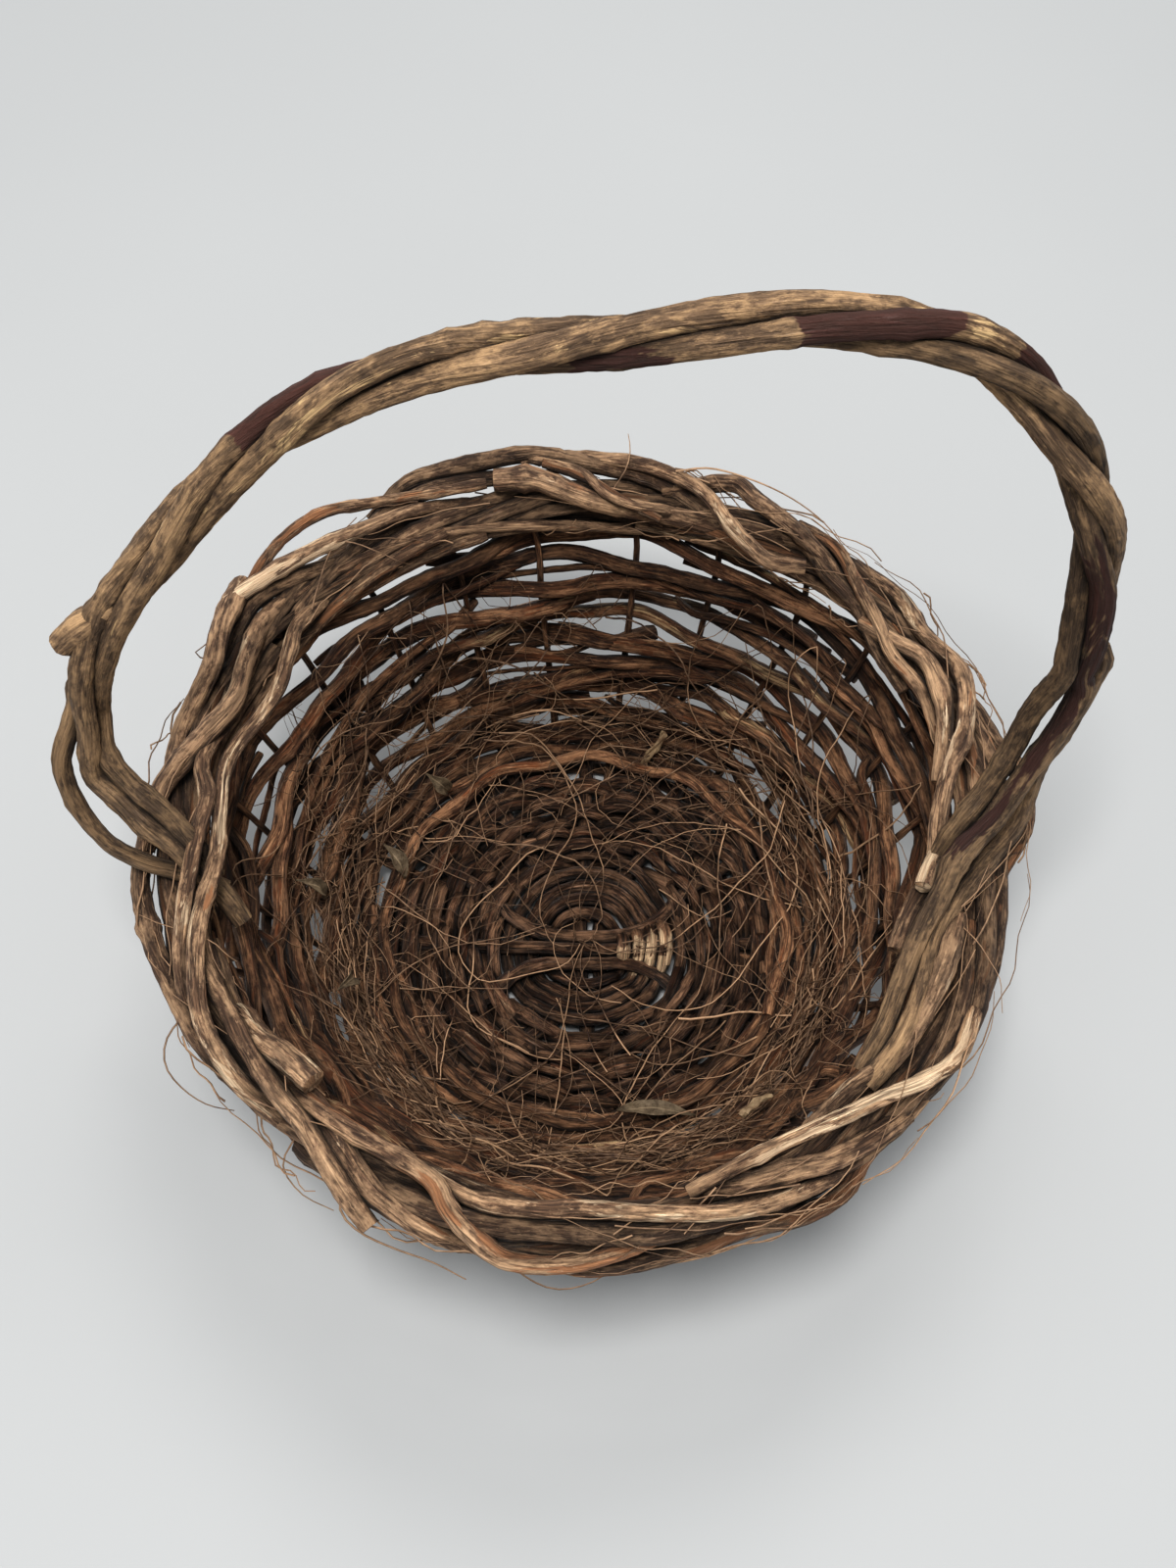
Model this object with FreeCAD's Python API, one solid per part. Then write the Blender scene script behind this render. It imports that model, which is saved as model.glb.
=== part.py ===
"""Round basket of unpeeled vine rods with a rigid overhead handle.

Millimetres, +Z up. The origin is the centre of the base on the ground plane.
+X runs across the basket from the handle's left foot to its right foot.
The handle's crown leans towards +Y. Every rod is one bent solid with two cut ends.
"""
import FreeCAD
import Part
import math
import os

# overall sizes
BASE_RADIUS = 118.0          # wall's middle surface at the height of the base
RIM_RADIUS = 182.0           # rim roll's centre circle
RIM_HEIGHT = 147.0           # rim roll's centre circle above the ground
HANDLE_RISE = 255.0          # handle's crown above the rim's centre, along its lean
LEFT_OVERHANG = 27.0         # handle's middle line beyond the rim's centre circle, on the left
RIGHT_OVERHANG = 23.0        # and on the right

# rod thicknesses
BASE_STICK = 7.0
BASE_ROD = 6.4
FOOT_ROD = 7.6
STAKE_ROD = 7.0
WALL_ROD = 9.0
RIM_VINE = 12.5
HANDLE_VINE = 14.0

# named clearances
ROD_GAP = 0.4                # between rods that bear on each other
BUNDLE_GAP = 0.8             # between the handle and the rim roll that it crosses
END_GAP = 3.0                # between the two cut ends of one rod, behind a stake
TWIST_GAP = 0.1              # least space between twisted vines where the handle bends

# base
STICKS_PER_SET = 3
STICK_SPACING = 7.6          # between neighbouring parallel sticks in the cross
STICK_BEND_START = 24.0      # where the outer sticks start to fan out
STICK_BEND_END = 48.0        # radius at which all the sticks point outwards
STICK_INSET = 6.0            # sticks' cut ends inside the wall's foot
TIE_RADII = (19.5, 27.0)     # rounds that tie the cross
TIE_SHARPNESS = 3.0          # how quickly a tie round crosses from over to under
BASE_ROUNDS = 7
BASE_FIRST_RADIUS = 50.0
BASE_LAST_INSET = 25.4       # last base round inside the wall's foot
EDGE_INSET = 13.5            # rods that clasp the stakes' feet, inside the wall's foot
FOOT_HEIGHT = 3.2            # foot ring's centre above the ground, under its half thickness
BASE_CLEARANCE = 0.8         # base rods stay this far above the ground

# wall
STAKE_COUNT = 24
STAKE_INNER_INSET = 18.0     # stakes' inner ends inside the wall's foot
STAKE_BEND = 16.0
STAKE_TOP_GAP = 2.0
WALL_ROUNDS = 11
FIRST_ROUND_UP = 3.0         # first wall round above the stakes' bend, along the wall

# rim
RIM_VINES = 5
RIM_TURNS = 4

# handle
HANDLE_VINES = 3
HANDLE_TURNS = 3.4
UNTWISTED = 0.11             # share of the handle's length at each foot with no twist
HANDLE_LEAN = math.radians(15.0)
HANDLE_CROWN_X = 68.0        # the crown's highest point is right of the middle
HANDLE_SPRING = 60.0         # where the arch starts above the rim, along its lean
LEFT_SHOULDER = 2.0          # 2 is an ellipse, more is squarer
RIGHT_SHOULDER = 3.0
LEFT_FOOT_ANGLE = math.radians(189.0)
RIGHT_FOOT_ANGLE = math.radians(-2.0)
FOOT_SWING = math.radians(9.0)   # both feet slant towards the front inside the basket
FOOT_DROP = 26.0             # cut ends below the rim's centre
FOOT_INSET = 6.0             # cut ends further inside than the rim crossing

# steps used to draw smooth curves
ROUND_STEPS_PER_STAKE = 2
TIE_STEPS = 32
RIM_STEPS = 40
HANDLE_STEPS = 66
ARCH_POINTS = 9
CROSSING_POINTS = 4
ROUTE_FINENESS = 24

# sizes that follow
STICK_REACH = BASE_RADIUS - STICK_INSET
EDGE_RADIUS = BASE_RADIUS - EDGE_INSET
STAKE_INNER_END = BASE_RADIUS - STAKE_INNER_INSET
BASE_ROUND_PITCH = (BASE_RADIUS - BASE_LAST_INSET - BASE_FIRST_RADIUS) / (BASE_ROUNDS - 1)
STICK_OFFSET = (BASE_STICK + ROD_GAP) / 2
BASE_SWING = (BASE_STICK + BASE_ROD) / 2 + ROD_GAP
BASE_MIDDLE = BASE_SWING + BASE_ROD / 2 + BASE_CLEARANCE
WALL_SWING = (STAKE_ROD + WALL_ROD) / 2 + ROD_GAP
STAKE_STEP = 2 * math.pi / STAKE_COUNT
RIM_HELIX = math.atan(RIM_TURNS * RIM_VINE / RIM_RADIUS)
RIM_SPREAD = (RIM_VINE + ROD_GAP) / (2 * math.sin(math.pi / RIM_VINES) * math.cos(RIM_HELIX))
RIM_ROLL = RIM_SPREAD + RIM_VINE / 2
HANDLE_HELIX = math.radians(15)
HANDLE_SPREAD = (HANDLE_VINE + ROD_GAP) / (2 * math.sin(math.pi / HANDLE_VINES) * math.cos(HANDLE_HELIX))


def vector(x, y, z):
    return FreeCAD.Vector(x, y, z)


def polar(angle, radius, z):
    return vector(radius * math.cos(angle), radius * math.sin(angle), z)


def save(shape, node):
    shape.exportStep("parts/%s.step" % node)


def arc_from(start, tangent, end):
    """Edge that leaves start along tangent and ends at end: an arc, or a line when straight."""
    chord = end - start
    normal = tangent.cross(chord)
    if normal.Length < 1e-7 * chord.Length:
        return Part.makeLine(start, end)
    normal.normalize()
    towards_centre = normal.cross(tangent).normalize()
    radius = chord.dot(chord) / (2 * chord.dot(towards_centre))
    centre = start + towards_centre * radius
    halfway = centre + ((start + end) * 0.5 - centre).normalize() * radius
    return Part.Arc(start, halfway, end).toShape()


def arc_pair(start, start_tangent, end, end_tangent):
    """Two tangent edges that join two points along their tangents."""
    chord = end - start
    both = start_tangent + end_tangent
    square = 2 * (1 - start_tangent.dot(end_tangent))
    linear = 2 * chord.dot(both)
    if square < 1e-9:
        reach = chord.dot(chord) / linear
    else:
        root = math.sqrt(linear * linear + 4 * square * chord.dot(chord))
        reach = (root - linear) / (2 * square)
    joint = (start + end + (start_tangent - end_tangent) * reach) * 0.5
    return [arc_from(start, start_tangent, joint), arc_from(end, end_tangent * -1, joint)]


def rod_line(points, tangents):
    """Middle line of a rod: tangent arcs through the points."""
    edges = []
    for i in range(len(points) - 1):
        edges += arc_pair(points[i], tangents[i], points[i + 1], tangents[i + 1])
    return Part.Wire(Part.__sortEdges__(edges))


def rod(points, tangents, thickness):
    """Round rod swept along tangent arcs through the points."""
    circle = Part.makeCircle(thickness / 2, points[0], tangents[0])
    return rod_line(points, tangents).makePipe(Part.Face(Part.Wire(circle)))


def rod_along(place, start, end, steps, thickness):
    """Round rod along the curve place(t), for t from start to end."""
    values = [start + (end - start) * i / steps for i in range(steps + 1)]
    small = (end - start) * 1e-5
    points = [place(t) for t in values]
    tangents = [(place(t + small) - place(t - small)).normalize() for t in values]
    return rod(points, tangents, thickness)


def ring_rod(place, radius, start, steps, thickness):
    """Rod once round the basket, with a small gap between its ends."""
    gap = END_GAP / radius
    return rod_along(place, start + gap / 2, start + 2 * math.pi - gap / 2, steps, thickness)


# ---------------------------------------------------------------- base

def spoke_angle(place_in_set):
    """Angle that a stick's end fans out to; the middle stick stays straight."""
    spread = math.pi / 2 / STICKS_PER_SET
    return (place_in_set - (STICKS_PER_SET - 1) / 2) * spread


def base_stick(place_in_set, side, turn):
    """One stick of the cross. side is +1 for the upper set and -1 for the lower set."""
    offset = (place_in_set - (STICKS_PER_SET - 1) / 2) * STICK_SPACING
    angle = spoke_angle(place_in_set)
    level = BASE_MIDDLE + side * STICK_OFFSET
    right = [vector(STICK_BEND_START, offset, level),
             polar(angle, STICK_BEND_END, BASE_MIDDLE),
             polar(angle, STICK_REACH, BASE_MIDDLE)]
    outwards = polar(angle, 1, 0)
    across = vector(1, 0, 0)
    right_tangents = [across, outwards, outwards]
    left = [vector(-p.x, p.y, p.z) for p in reversed(right)]
    left_tangents = [vector(t.x, -t.y, t.z) for t in reversed(right_tangents)]
    stick = rod(left + right, left_tangents + right_tangents, BASE_STICK)
    stick.rotate(vector(0, 0, 0), vector(0, 0, 1), turn)
    return stick


def make_cross():
    for i in range(STICKS_PER_SET):
        save(base_stick(i, 1, 0), "base_stick_across_%d" % (i + 1))
        save(base_stick(i, -1, 90), "base_stick_along_%d" % (i + 1))


def tie_round(radius):
    """Rod that passes under the upper sticks and over the lower ones."""
    swing = BASE_SWING - STICK_OFFSET
    full = math.tanh(TIE_SHARPNESS)

    def place(angle):
        weave = math.tanh(TIE_SHARPNESS * math.cos(2 * angle)) / full
        return polar(angle, radius, BASE_MIDDLE - swing * weave)

    return ring_rod(place, radius, math.pi / 4, TIE_STEPS, BASE_ROD)


def base_round(number):
    """Rod woven over and under the sticks' fanned ends."""
    radius = BASE_FIRST_RADIUS + number * BASE_ROUND_PITCH
    side = 1 if number % 2 == 0 else -1
    waves = 2 * STICKS_PER_SET
    spokes = 2 * waves

    def place(angle):
        return polar(angle, radius, BASE_MIDDLE + side * BASE_SWING * math.cos(waves * angle))

    start = number * 2 * math.pi / spokes
    return ring_rod(place, radius, start, spokes * 2, BASE_ROD)


def plain_ring(radius, z, start, thickness):
    def place(angle):
        return polar(angle, radius, z)

    return ring_rod(place, radius, start, 4, thickness)


def foot_ring():
    """Ring under the stakes' feet, worn flat where it stands on the ground."""
    ring = plain_ring(EDGE_RADIUS, FOOT_HEIGHT, STAKE_STEP / 2, FOOT_ROD)
    side = 2 * (EDGE_RADIUS + FOOT_ROD)
    ground = Part.makeBox(side, side, FOOT_ROD, vector(-side / 2, -side / 2, -FOOT_ROD))
    return ring.cut(ground).Solids[0]


def make_base():
    make_cross()
    for i, radius in enumerate(TIE_RADII):
        save(tie_round(radius), "base_tie_round_%d" % (i + 1))
    for i in range(BASE_ROUNDS):
        save(base_round(i), "base_round_%d" % (i + 1))
    top = BASE_MIDDLE + (STAKE_ROD + BASE_ROD) / 2 + ROD_GAP
    save(plain_ring(EDGE_RADIUS, top, STAKE_STEP, BASE_ROD), "base_edge_rod")
    save(foot_ring(), "foot_ring")


# ---------------------------------------------------------------- wall

def wall_lean():
    """Angle of the wall from upright."""
    return math.atan((RIM_RADIUS - BASE_RADIUS) / (RIM_HEIGHT - BASE_MIDDLE - STAKE_ROD))


def wall_point(along):
    """Radius and height on the wall's middle surface, measured up from the stakes' bend."""
    lean = wall_lean()
    bend_top = STAKE_BEND * (1 - math.sin(lean))
    radius = BASE_RADIUS + bend_top * math.tan(lean) + along * math.sin(lean)
    return radius, BASE_MIDDLE + bend_top + along * math.cos(lean)


def wall_length():
    """Length of the wall's straight part that is free under the rim roll."""
    start_radius, start_height = wall_point(0)
    lean = wall_lean()
    out = RIM_RADIUS - start_radius
    up = RIM_HEIGHT - start_height
    along = out * math.sin(lean) + up * math.cos(lean)
    aside = out * math.cos(lean) - up * math.sin(lean)
    reach = RIM_ROLL + STAKE_TOP_GAP
    edge = abs(aside) + STAKE_ROD / 2
    return along - math.sqrt(max(reach * reach - edge * edge, 0))


def stake(angle):
    """Upright rod: it comes out between the base rods, bends up and stops under the rim."""
    lean = wall_lean()
    top_radius, top_height = wall_point(wall_length())
    bend_radius, bend_height = wall_point(0)
    bend_start = bend_radius - STAKE_BEND * math.cos(lean)
    outwards = vector(1, 0, 0)
    upwards = vector(math.sin(lean), 0, math.cos(lean))
    points = [vector(STAKE_INNER_END, 0, BASE_MIDDLE),
              vector(bend_start, 0, BASE_MIDDLE),
              vector(bend_radius, 0, bend_height),
              vector(top_radius, 0, top_height)]
    one = rod(points, [outwards, outwards, upwards, upwards], STAKE_ROD)
    one.rotate(vector(0, 0, 0), vector(0, 0, 1), math.degrees(angle))
    return one


def round_pitch():
    """Distance between wall rounds, spread over the wall's free length."""
    lean = wall_lean()
    rim_clear = WALL_SWING * math.tan(lean) / 2
    free = wall_length() - FIRST_ROUND_UP - WALL_ROD / 2 - rim_clear
    return free / (WALL_ROUNDS - 1)


def wall_round(number):
    """Rod woven in and out of the stakes, once round the wall."""
    lean = wall_lean()
    radius, height = wall_point(FIRST_ROUND_UP + number * round_pitch())
    side = 1 if number % 2 == 0 else -1

    def place(angle):
        out = side * WALL_SWING * math.cos(STAKE_COUNT / 2 * (angle - STAKE_STEP / 2))
        return polar(angle, radius + out * math.cos(lean), height - out * math.sin(lean))

    start = STAKE_STEP * (0.5 + 5 * number)
    return ring_rod(place, radius, start, STAKE_COUNT * ROUND_STEPS_PER_STAKE, WALL_ROD)


def make_wall():
    for i in range(STAKE_COUNT):
        save(stake(STAKE_STEP * (i + 0.5)), "stake_%02d" % (i + 1))
    for i in range(WALL_ROUNDS):
        save(wall_round(i), "wall_round_%02d" % (i + 1))


# ---------------------------------------------------------------- rim

def rim_vine(number):
    """One vine of the rolled rim, wound round the rim's centre circle."""
    phase = 2 * math.pi * number / RIM_VINES

    def place(angle):
        wind = phase + RIM_TURNS * angle
        return polar(angle, RIM_RADIUS + RIM_SPREAD * math.cos(wind),
                     RIM_HEIGHT + RIM_SPREAD * math.sin(wind))

    start = phase + STAKE_STEP
    return ring_rod(place, RIM_RADIUS, start, RIM_STEPS, RIM_VINE)


def make_rim():
    for i in range(RIM_VINES):
        save(rim_vine(i), "rim_vine_%d" % (i + 1))


# ---------------------------------------------------------------- handle

def leaning(across, up):
    """Point of the handle's leaning plane; up is measured from the rim's centre."""
    return vector(across, up * math.sin(HANDLE_LEAN), RIM_HEIGHT + up * math.cos(HANDLE_LEAN))


def arch_points(reach, shoulder):
    """From the crown's highest point down to where the arch springs, on one side."""
    half = reach - HANDLE_CROWN_X
    points = []
    for i in range(1, ARCH_POINTS + 1):
        turn = math.pi / 2 * i / ARCH_POINTS
        across = HANDLE_CROWN_X + half * math.sin(turn) ** (2 / shoulder)
        up = HANDLE_SPRING + (HANDLE_RISE - HANDLE_SPRING) * max(math.cos(turn), 0) ** (2 / shoulder)
        points.append(leaning(across, up))
    return points


def foot_points(foot_angle, swing, lift):
    """Over the rim roll from its top to its inner side, then down to the cut end."""
    points = []
    for i in range(CROSSING_POINTS + 1):
        share = i / CROSSING_POINTS
        around = math.pi / 2 * share
        points.append(polar(foot_angle + swing * share * 0.6,
                            RIM_RADIUS - lift * math.sin(around),
                            RIM_HEIGHT + lift * math.cos(around)))
    points.append(polar(foot_angle + swing, RIM_RADIUS - lift - FOOT_INSET,
                        RIM_HEIGHT - FOOT_DROP))
    return points


def handle_route(spread):
    """Points along the middle of the handle from its left cut end to its right one."""
    lift = RIM_ROLL + spread + HANDLE_VINE / 2 + BUNDLE_GAP
    left = arch_points(-RIM_RADIUS - LEFT_OVERHANG, LEFT_SHOULDER)
    left += foot_points(LEFT_FOOT_ANGLE, FOOT_SWING, lift)
    right = arch_points(RIM_RADIUS + RIGHT_OVERHANG, RIGHT_SHOULDER)
    right += foot_points(RIGHT_FOOT_ANGLE, -FOOT_SWING, lift)
    return list(reversed(left)) + [leaning(HANDLE_CROWN_X, HANDLE_RISE)] + right


def smooth_route(points):
    """Fine points of a smooth curve through the route's points."""
    padded = [points[0] * 2 - points[1]] + points + [points[-1] * 2 - points[-2]]
    fine = []
    for i in range(1, len(padded) - 2):
        a, b, c, d = padded[i - 1:i + 3]
        for k in range(ROUTE_FINENESS):
            t = k / ROUTE_FINENESS
            fine.append((b * 2 + (c - a) * t + (a * 2 - b * 5 + c * 4 - d) * t ** 2
                         + (b * 3 - a - c * 3 + d) * t ** 3) * 0.5)
    fine.append(points[-1])
    return fine


def measured(points):
    """Length of the route from its start to each of its points."""
    lengths = [0.0]
    for i in range(1, len(points)):
        lengths.append(lengths[-1] + (points[i] - points[i - 1]).Length)
    return lengths


def route_place(points, lengths, share):
    """Point at a share of the route's length; beyond the ends it runs on straight."""
    target = share * lengths[-1]
    i = 1
    while i < len(lengths) - 1 and lengths[i] < target:
        i += 1
    part = (target - lengths[i - 1]) / (lengths[i] - lengths[i - 1])
    return points[i - 1] + (points[i] - points[i - 1]) * part


def vine_path(number, points, lengths, spread):
    """Middle line of one handle vine, wound round the handle's own middle line."""
    phase = 2 * math.pi * number / HANDLE_VINES
    facing = vector(0, math.cos(HANDLE_LEAN), -math.sin(HANDLE_LEAN))
    nearby = 0.004

    def place(share):
        middle = route_place(points, lengths, share)
        ahead = route_place(points, lengths, share + nearby)
        behind = route_place(points, lengths, share - nearby)
        tangent = (ahead - behind).normalize()
        first = (facing - tangent * facing.dot(tangent)).normalize()
        second = tangent.cross(first)
        twisted = min(max((share - UNTWISTED) / (1 - 2 * UNTWISTED), 0), 1)
        wind = phase + 2 * math.pi * HANDLE_TURNS * twisted
        return middle + (first * math.cos(wind) + second * math.sin(wind)) * spread

    return place


def vine_points(place):
    """Points and tangents of a handle vine; a tangent is taken over a short, smooth stretch."""
    stretch = 0.25 / HANDLE_STEPS
    values = [stretch + (1 - 2 * stretch) * i / HANDLE_STEPS for i in range(HANDLE_STEPS + 1)]
    points = [place(t) for t in values]
    tangents = [(place(t + stretch) - place(t - stretch)).normalize() for t in values]
    return points, tangents


def handle_vines():
    """The vines' points and tangents, spread until the vines clear each other at every bend."""
    spread = HANDLE_SPREAD
    while True:
        points = smooth_route(handle_route(spread))
        lengths = measured(points)
        vines = [vine_points(vine_path(i, points, lengths, spread)) for i in range(HANDLE_VINES)]
        lines = [rod_line(*vine) for vine in vines]
        closest = min(lines[i].distToShape(lines[i - 1])[0] for i in range(HANDLE_VINES))
        if closest >= HANDLE_VINE + TWIST_GAP:
            return vines
        spread += HANDLE_VINE + TWIST_GAP - closest


def make_handle():
    for i, (points, tangents) in enumerate(handle_vines()):
        save(rod(points, tangents, HANDLE_VINE), "handle_vine_%d" % (i + 1))


os.makedirs("parts", exist_ok=True)
make_base()
make_wall()
make_rim()
make_handle()
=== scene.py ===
"""Looks of the wicker log basket: bark-covered vines, woven base and wall, wound rim, twisted handle,
rootlets and dry leaves. Metres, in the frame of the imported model."""
import bpy
import itertools
import math
import random
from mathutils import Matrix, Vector


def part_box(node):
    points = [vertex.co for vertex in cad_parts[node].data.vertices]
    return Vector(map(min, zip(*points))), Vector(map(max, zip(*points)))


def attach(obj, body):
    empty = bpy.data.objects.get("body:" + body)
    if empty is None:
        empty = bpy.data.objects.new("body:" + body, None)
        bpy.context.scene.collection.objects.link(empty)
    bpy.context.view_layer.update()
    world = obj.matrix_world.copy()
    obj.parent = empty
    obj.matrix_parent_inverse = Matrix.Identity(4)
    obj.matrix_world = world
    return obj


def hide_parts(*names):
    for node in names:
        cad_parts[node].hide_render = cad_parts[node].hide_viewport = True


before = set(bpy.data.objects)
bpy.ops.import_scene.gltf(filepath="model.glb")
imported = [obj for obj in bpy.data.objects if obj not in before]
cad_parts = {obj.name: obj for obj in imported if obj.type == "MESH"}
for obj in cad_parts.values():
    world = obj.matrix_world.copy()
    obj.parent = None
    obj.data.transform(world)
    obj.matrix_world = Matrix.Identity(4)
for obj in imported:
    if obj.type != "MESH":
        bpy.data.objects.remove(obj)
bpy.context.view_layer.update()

MM = 0.001
FULL_TURN = 2 * math.pi
PHASES = (0, 6.3)            # a start anywhere in about a full turn

# ---------------------------------------------------------------- sizes read from the frame

def nodes_named(start):
    return sorted(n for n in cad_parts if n.startswith(start))


WALL_ROUNDS = nodes_named("wall_round")
BASE_ROUNDS = nodes_named("base_round")
STAKES = nodes_named("stake")
RIM_NODES = nodes_named("rim_vine")
STAKE_STEP = FULL_TURN / len(STAKES)


def ring_size(node):
    """Outer radius and middle height of a ring-shaped node."""
    low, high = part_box(node)
    return (high[0] - low[0]) / 2, (high[2] + low[2]) / 2


RIM_LOW = min(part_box(n)[0][2] for n in RIM_NODES)
RIM_HIGH = max(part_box(n)[1][2] for n in RIM_NODES)
RIM_ROLL = (RIM_HIGH - RIM_LOW) / 2
RIM_HEIGHT = (RIM_HIGH + RIM_LOW) / 2
RIM_RADIUS = max(ring_size(n)[0] for n in RIM_NODES) - RIM_ROLL
WALL_ROD = 8.1 * MM
WALL_SWING = 6.8 * MM
TUCKED_SHARE = 0.06          # this share of a wall rod, at each end, turns to the outside
WALL_EDGE = 12.0 * MM        # a wall round reaches this far out from the wall's middle
FIRST_RADIUS = ring_size(WALL_ROUNDS[0])[0] - WALL_EDGE
FIRST_HEIGHT = ring_size(WALL_ROUNDS[0])[1]
LAST_RADIUS = ring_size(WALL_ROUNDS[-1])[0] - WALL_EDGE
LAST_HEIGHT = ring_size(WALL_ROUNDS[-1])[1]
WALL_LEAN = math.atan2(LAST_RADIUS - FIRST_RADIUS, LAST_HEIGHT - FIRST_HEIGHT)
BASE_MIDDLE = ring_size(BASE_ROUNDS[0])[1]
BASE_ROD = 6.6 * MM
BASE_REACH = 3.2 * MM        # a base round's middle line lies this far inside its outer edge


def polar(angle, radius, height):
    return Vector((radius * math.cos(angle), radius * math.sin(angle), height))


def wall_place(angle, level, out=0.0):
    """Point on the wall; level is 0 at the first round and 1 at the last, out is away from the middle."""
    radius = FIRST_RADIUS + (LAST_RADIUS - FIRST_RADIUS) * level
    height = FIRST_HEIGHT + (LAST_HEIGHT - FIRST_HEIGHT) * level
    return polar(angle, radius + out * math.cos(WALL_LEAN), height - out * math.sin(WALL_LEAN))


def arc(start, sweep, count):
    """Even angles from start over the sweep, both ends included."""
    return [start + sweep * i / count for i in range(count + 1)]


def in_metres(points):
    return [Vector(p) * MM for p in points]


def taper(radius, share):
    """Girth of a rod that thins to a share of its radius."""
    return [(0, radius), (1, radius * share)]


# ---------------------------------------------------------------- node materials

def new_group(name, inputs, outputs):
    """Empty shader group with named sockets. Each socket is (name, type, value)."""
    group = bpy.data.node_groups.new(name, "ShaderNodeTree")
    for socket, kind, value in inputs:
        made = group.interface.new_socket(socket, in_out="INPUT", socket_type="NodeSocket" + kind)
        if value is not None:
            made.default_value = value
    for socket, kind in outputs:
        group.interface.new_socket(socket, in_out="OUTPUT", socket_type="NodeSocket" + kind)
    start = group.nodes.new("NodeGroupInput")
    end = group.nodes.new("NodeGroupOutput")
    return group, start, end


class Wiring:
    """Short words for adding and joining shader nodes in one tree."""

    def __init__(self, tree):
        self.tree = tree

    def link(self, source, target):
        self.tree.links.new(source, target)

    def put(self, socket, value):
        if isinstance(value, bpy.types.NodeSocket):
            self.link(value, socket)
        else:
            socket.default_value = value

    def math(self, operation, a, b=0.0, clamp=False):
        node = self.tree.nodes.new("ShaderNodeMath")
        node.operation = operation
        node.use_clamp = clamp
        self.put(node.inputs[0], a)
        self.put(node.inputs[1], b)
        return node.outputs[0]

    def vector_math(self, operation, vector, value, socket=1):
        node = self.tree.nodes.new("ShaderNodeVectorMath")
        node.operation = operation
        self.link(vector, node.inputs[0])
        self.put(node.inputs[socket], value)
        return node.outputs[0]

    def scaled(self, vector, scale):
        return self.vector_math("MULTIPLY", vector, scale)

    def moved(self, vector, offset):
        return self.vector_math("ADD", vector, offset)

    def grown(self, vector, factor):
        return self.vector_math("SCALE", vector, factor, "Scale")

    def weighted(self, a, share_a, b, share_b):
        return self.math("ADD", self.math("MULTIPLY", a, share_a), self.math("MULTIPLY", b, share_b))

    def noise(self, vector, scale, detail=4.0, rough=0.55, distortion=0.0):
        node = self.tree.nodes.new("ShaderNodeTexNoise")
        self.link(vector, node.inputs["Vector"])
        node.inputs["Scale"].default_value = scale
        node.inputs["Detail"].default_value = detail
        node.inputs["Roughness"].default_value = rough
        node.inputs["Distortion"].default_value = distortion
        return node.outputs["Fac"]

    def cells(self, vector, scale):
        node = self.tree.nodes.new("ShaderNodeTexVoronoi")
        node.feature = "DISTANCE_TO_EDGE"
        self.link(vector, node.inputs["Vector"])
        node.inputs["Scale"].default_value = scale
        return node.outputs["Distance"]

    def between(self, value, low, high, start=0.0, end=1.0):
        node = self.tree.nodes.new("ShaderNodeMapRange")
        node.clamp = True
        self.put(node.inputs["Value"], value)
        self.put(node.inputs["From Min"], low)
        self.put(node.inputs["From Max"], high)
        self.put(node.inputs["To Min"], start)
        self.put(node.inputs["To Max"], end)
        return node.outputs["Result"]

    def mix(self, share, a, b, blend="MIX"):
        node = self.tree.nodes.new("ShaderNodeMix")
        node.data_type = "RGBA"
        node.blend_type = blend
        self.put(node.inputs[0], share)
        self.put(node.inputs[6], a)
        self.put(node.inputs[7], b)
        return node.outputs[2]

    def group(self, group, **values):
        node = self.tree.nodes.new("ShaderNodeGroup")
        node.node_tree = group
        for socket, value in values.items():
            self.put(node.inputs[socket.replace("_", " ")], value)
        return node.outputs

    def tones(self):
        """Shade, peel and red of a rod, from its colour attribute."""
        tone = self.tree.nodes.new("ShaderNodeAttribute")
        tone.attribute_name = "tone"
        parts = self.tree.nodes.new("ShaderNodeSeparateColor")
        self.link(tone.outputs["Color"], parts.inputs[0])
        return parts.outputs

    def object_place(self, scale):
        coordinates = self.tree.nodes.new("ShaderNodeTexCoord").outputs["Object"]
        return self.scaled(coordinates, (scale, scale, scale))

    def bump(self, shader, height, depth, strength=1.0):
        node = self.tree.nodes.new("ShaderNodeBump")
        node.inputs["Strength"].default_value = strength
        node.inputs["Distance"].default_value = depth
        self.link(height, node.inputs["Height"])
        self.link(node.outputs["Normal"], shader.inputs["Normal"])

    def paint(self, shader, shade, roughness):
        self.link(shade, shader.inputs["Base Color"])
        self.put(shader.inputs["Roughness"], roughness)

    def give(self, end, **values):
        for socket, value in values.items():
            self.link(value, end.inputs[socket])


def colour(red, green, blue):
    return (red, green, blue, 1.0)


def make_rod_space():
    """Turns a rod's own map (along in metres, around as a share) into millimetres round the rod."""
    group, start, end = new_group("rod_space", [("Map", "Vector", None), ("Radius", "Float", 5.0)],
                                  [("Place", "Vector")])
    w = Wiring(group)
    parts = group.nodes.new("ShaderNodeSeparateXYZ")
    w.link(start.outputs["Map"], parts.inputs[0])
    turn = w.math("MULTIPLY", parts.outputs["Y"], FULL_TURN)
    side = w.math("MULTIPLY", w.math("COSINE", turn), start.outputs["Radius"])
    front = w.math("MULTIPLY", w.math("SINE", turn), start.outputs["Radius"])
    along = w.math("MULTIPLY", parts.outputs["X"], 1000.0)
    join = group.nodes.new("ShaderNodeCombineXYZ")
    for value, socket in zip((side, front, along), join.inputs):
        w.link(value, socket)
    w.give(end, Place=join.outputs[0])
    return group


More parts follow.
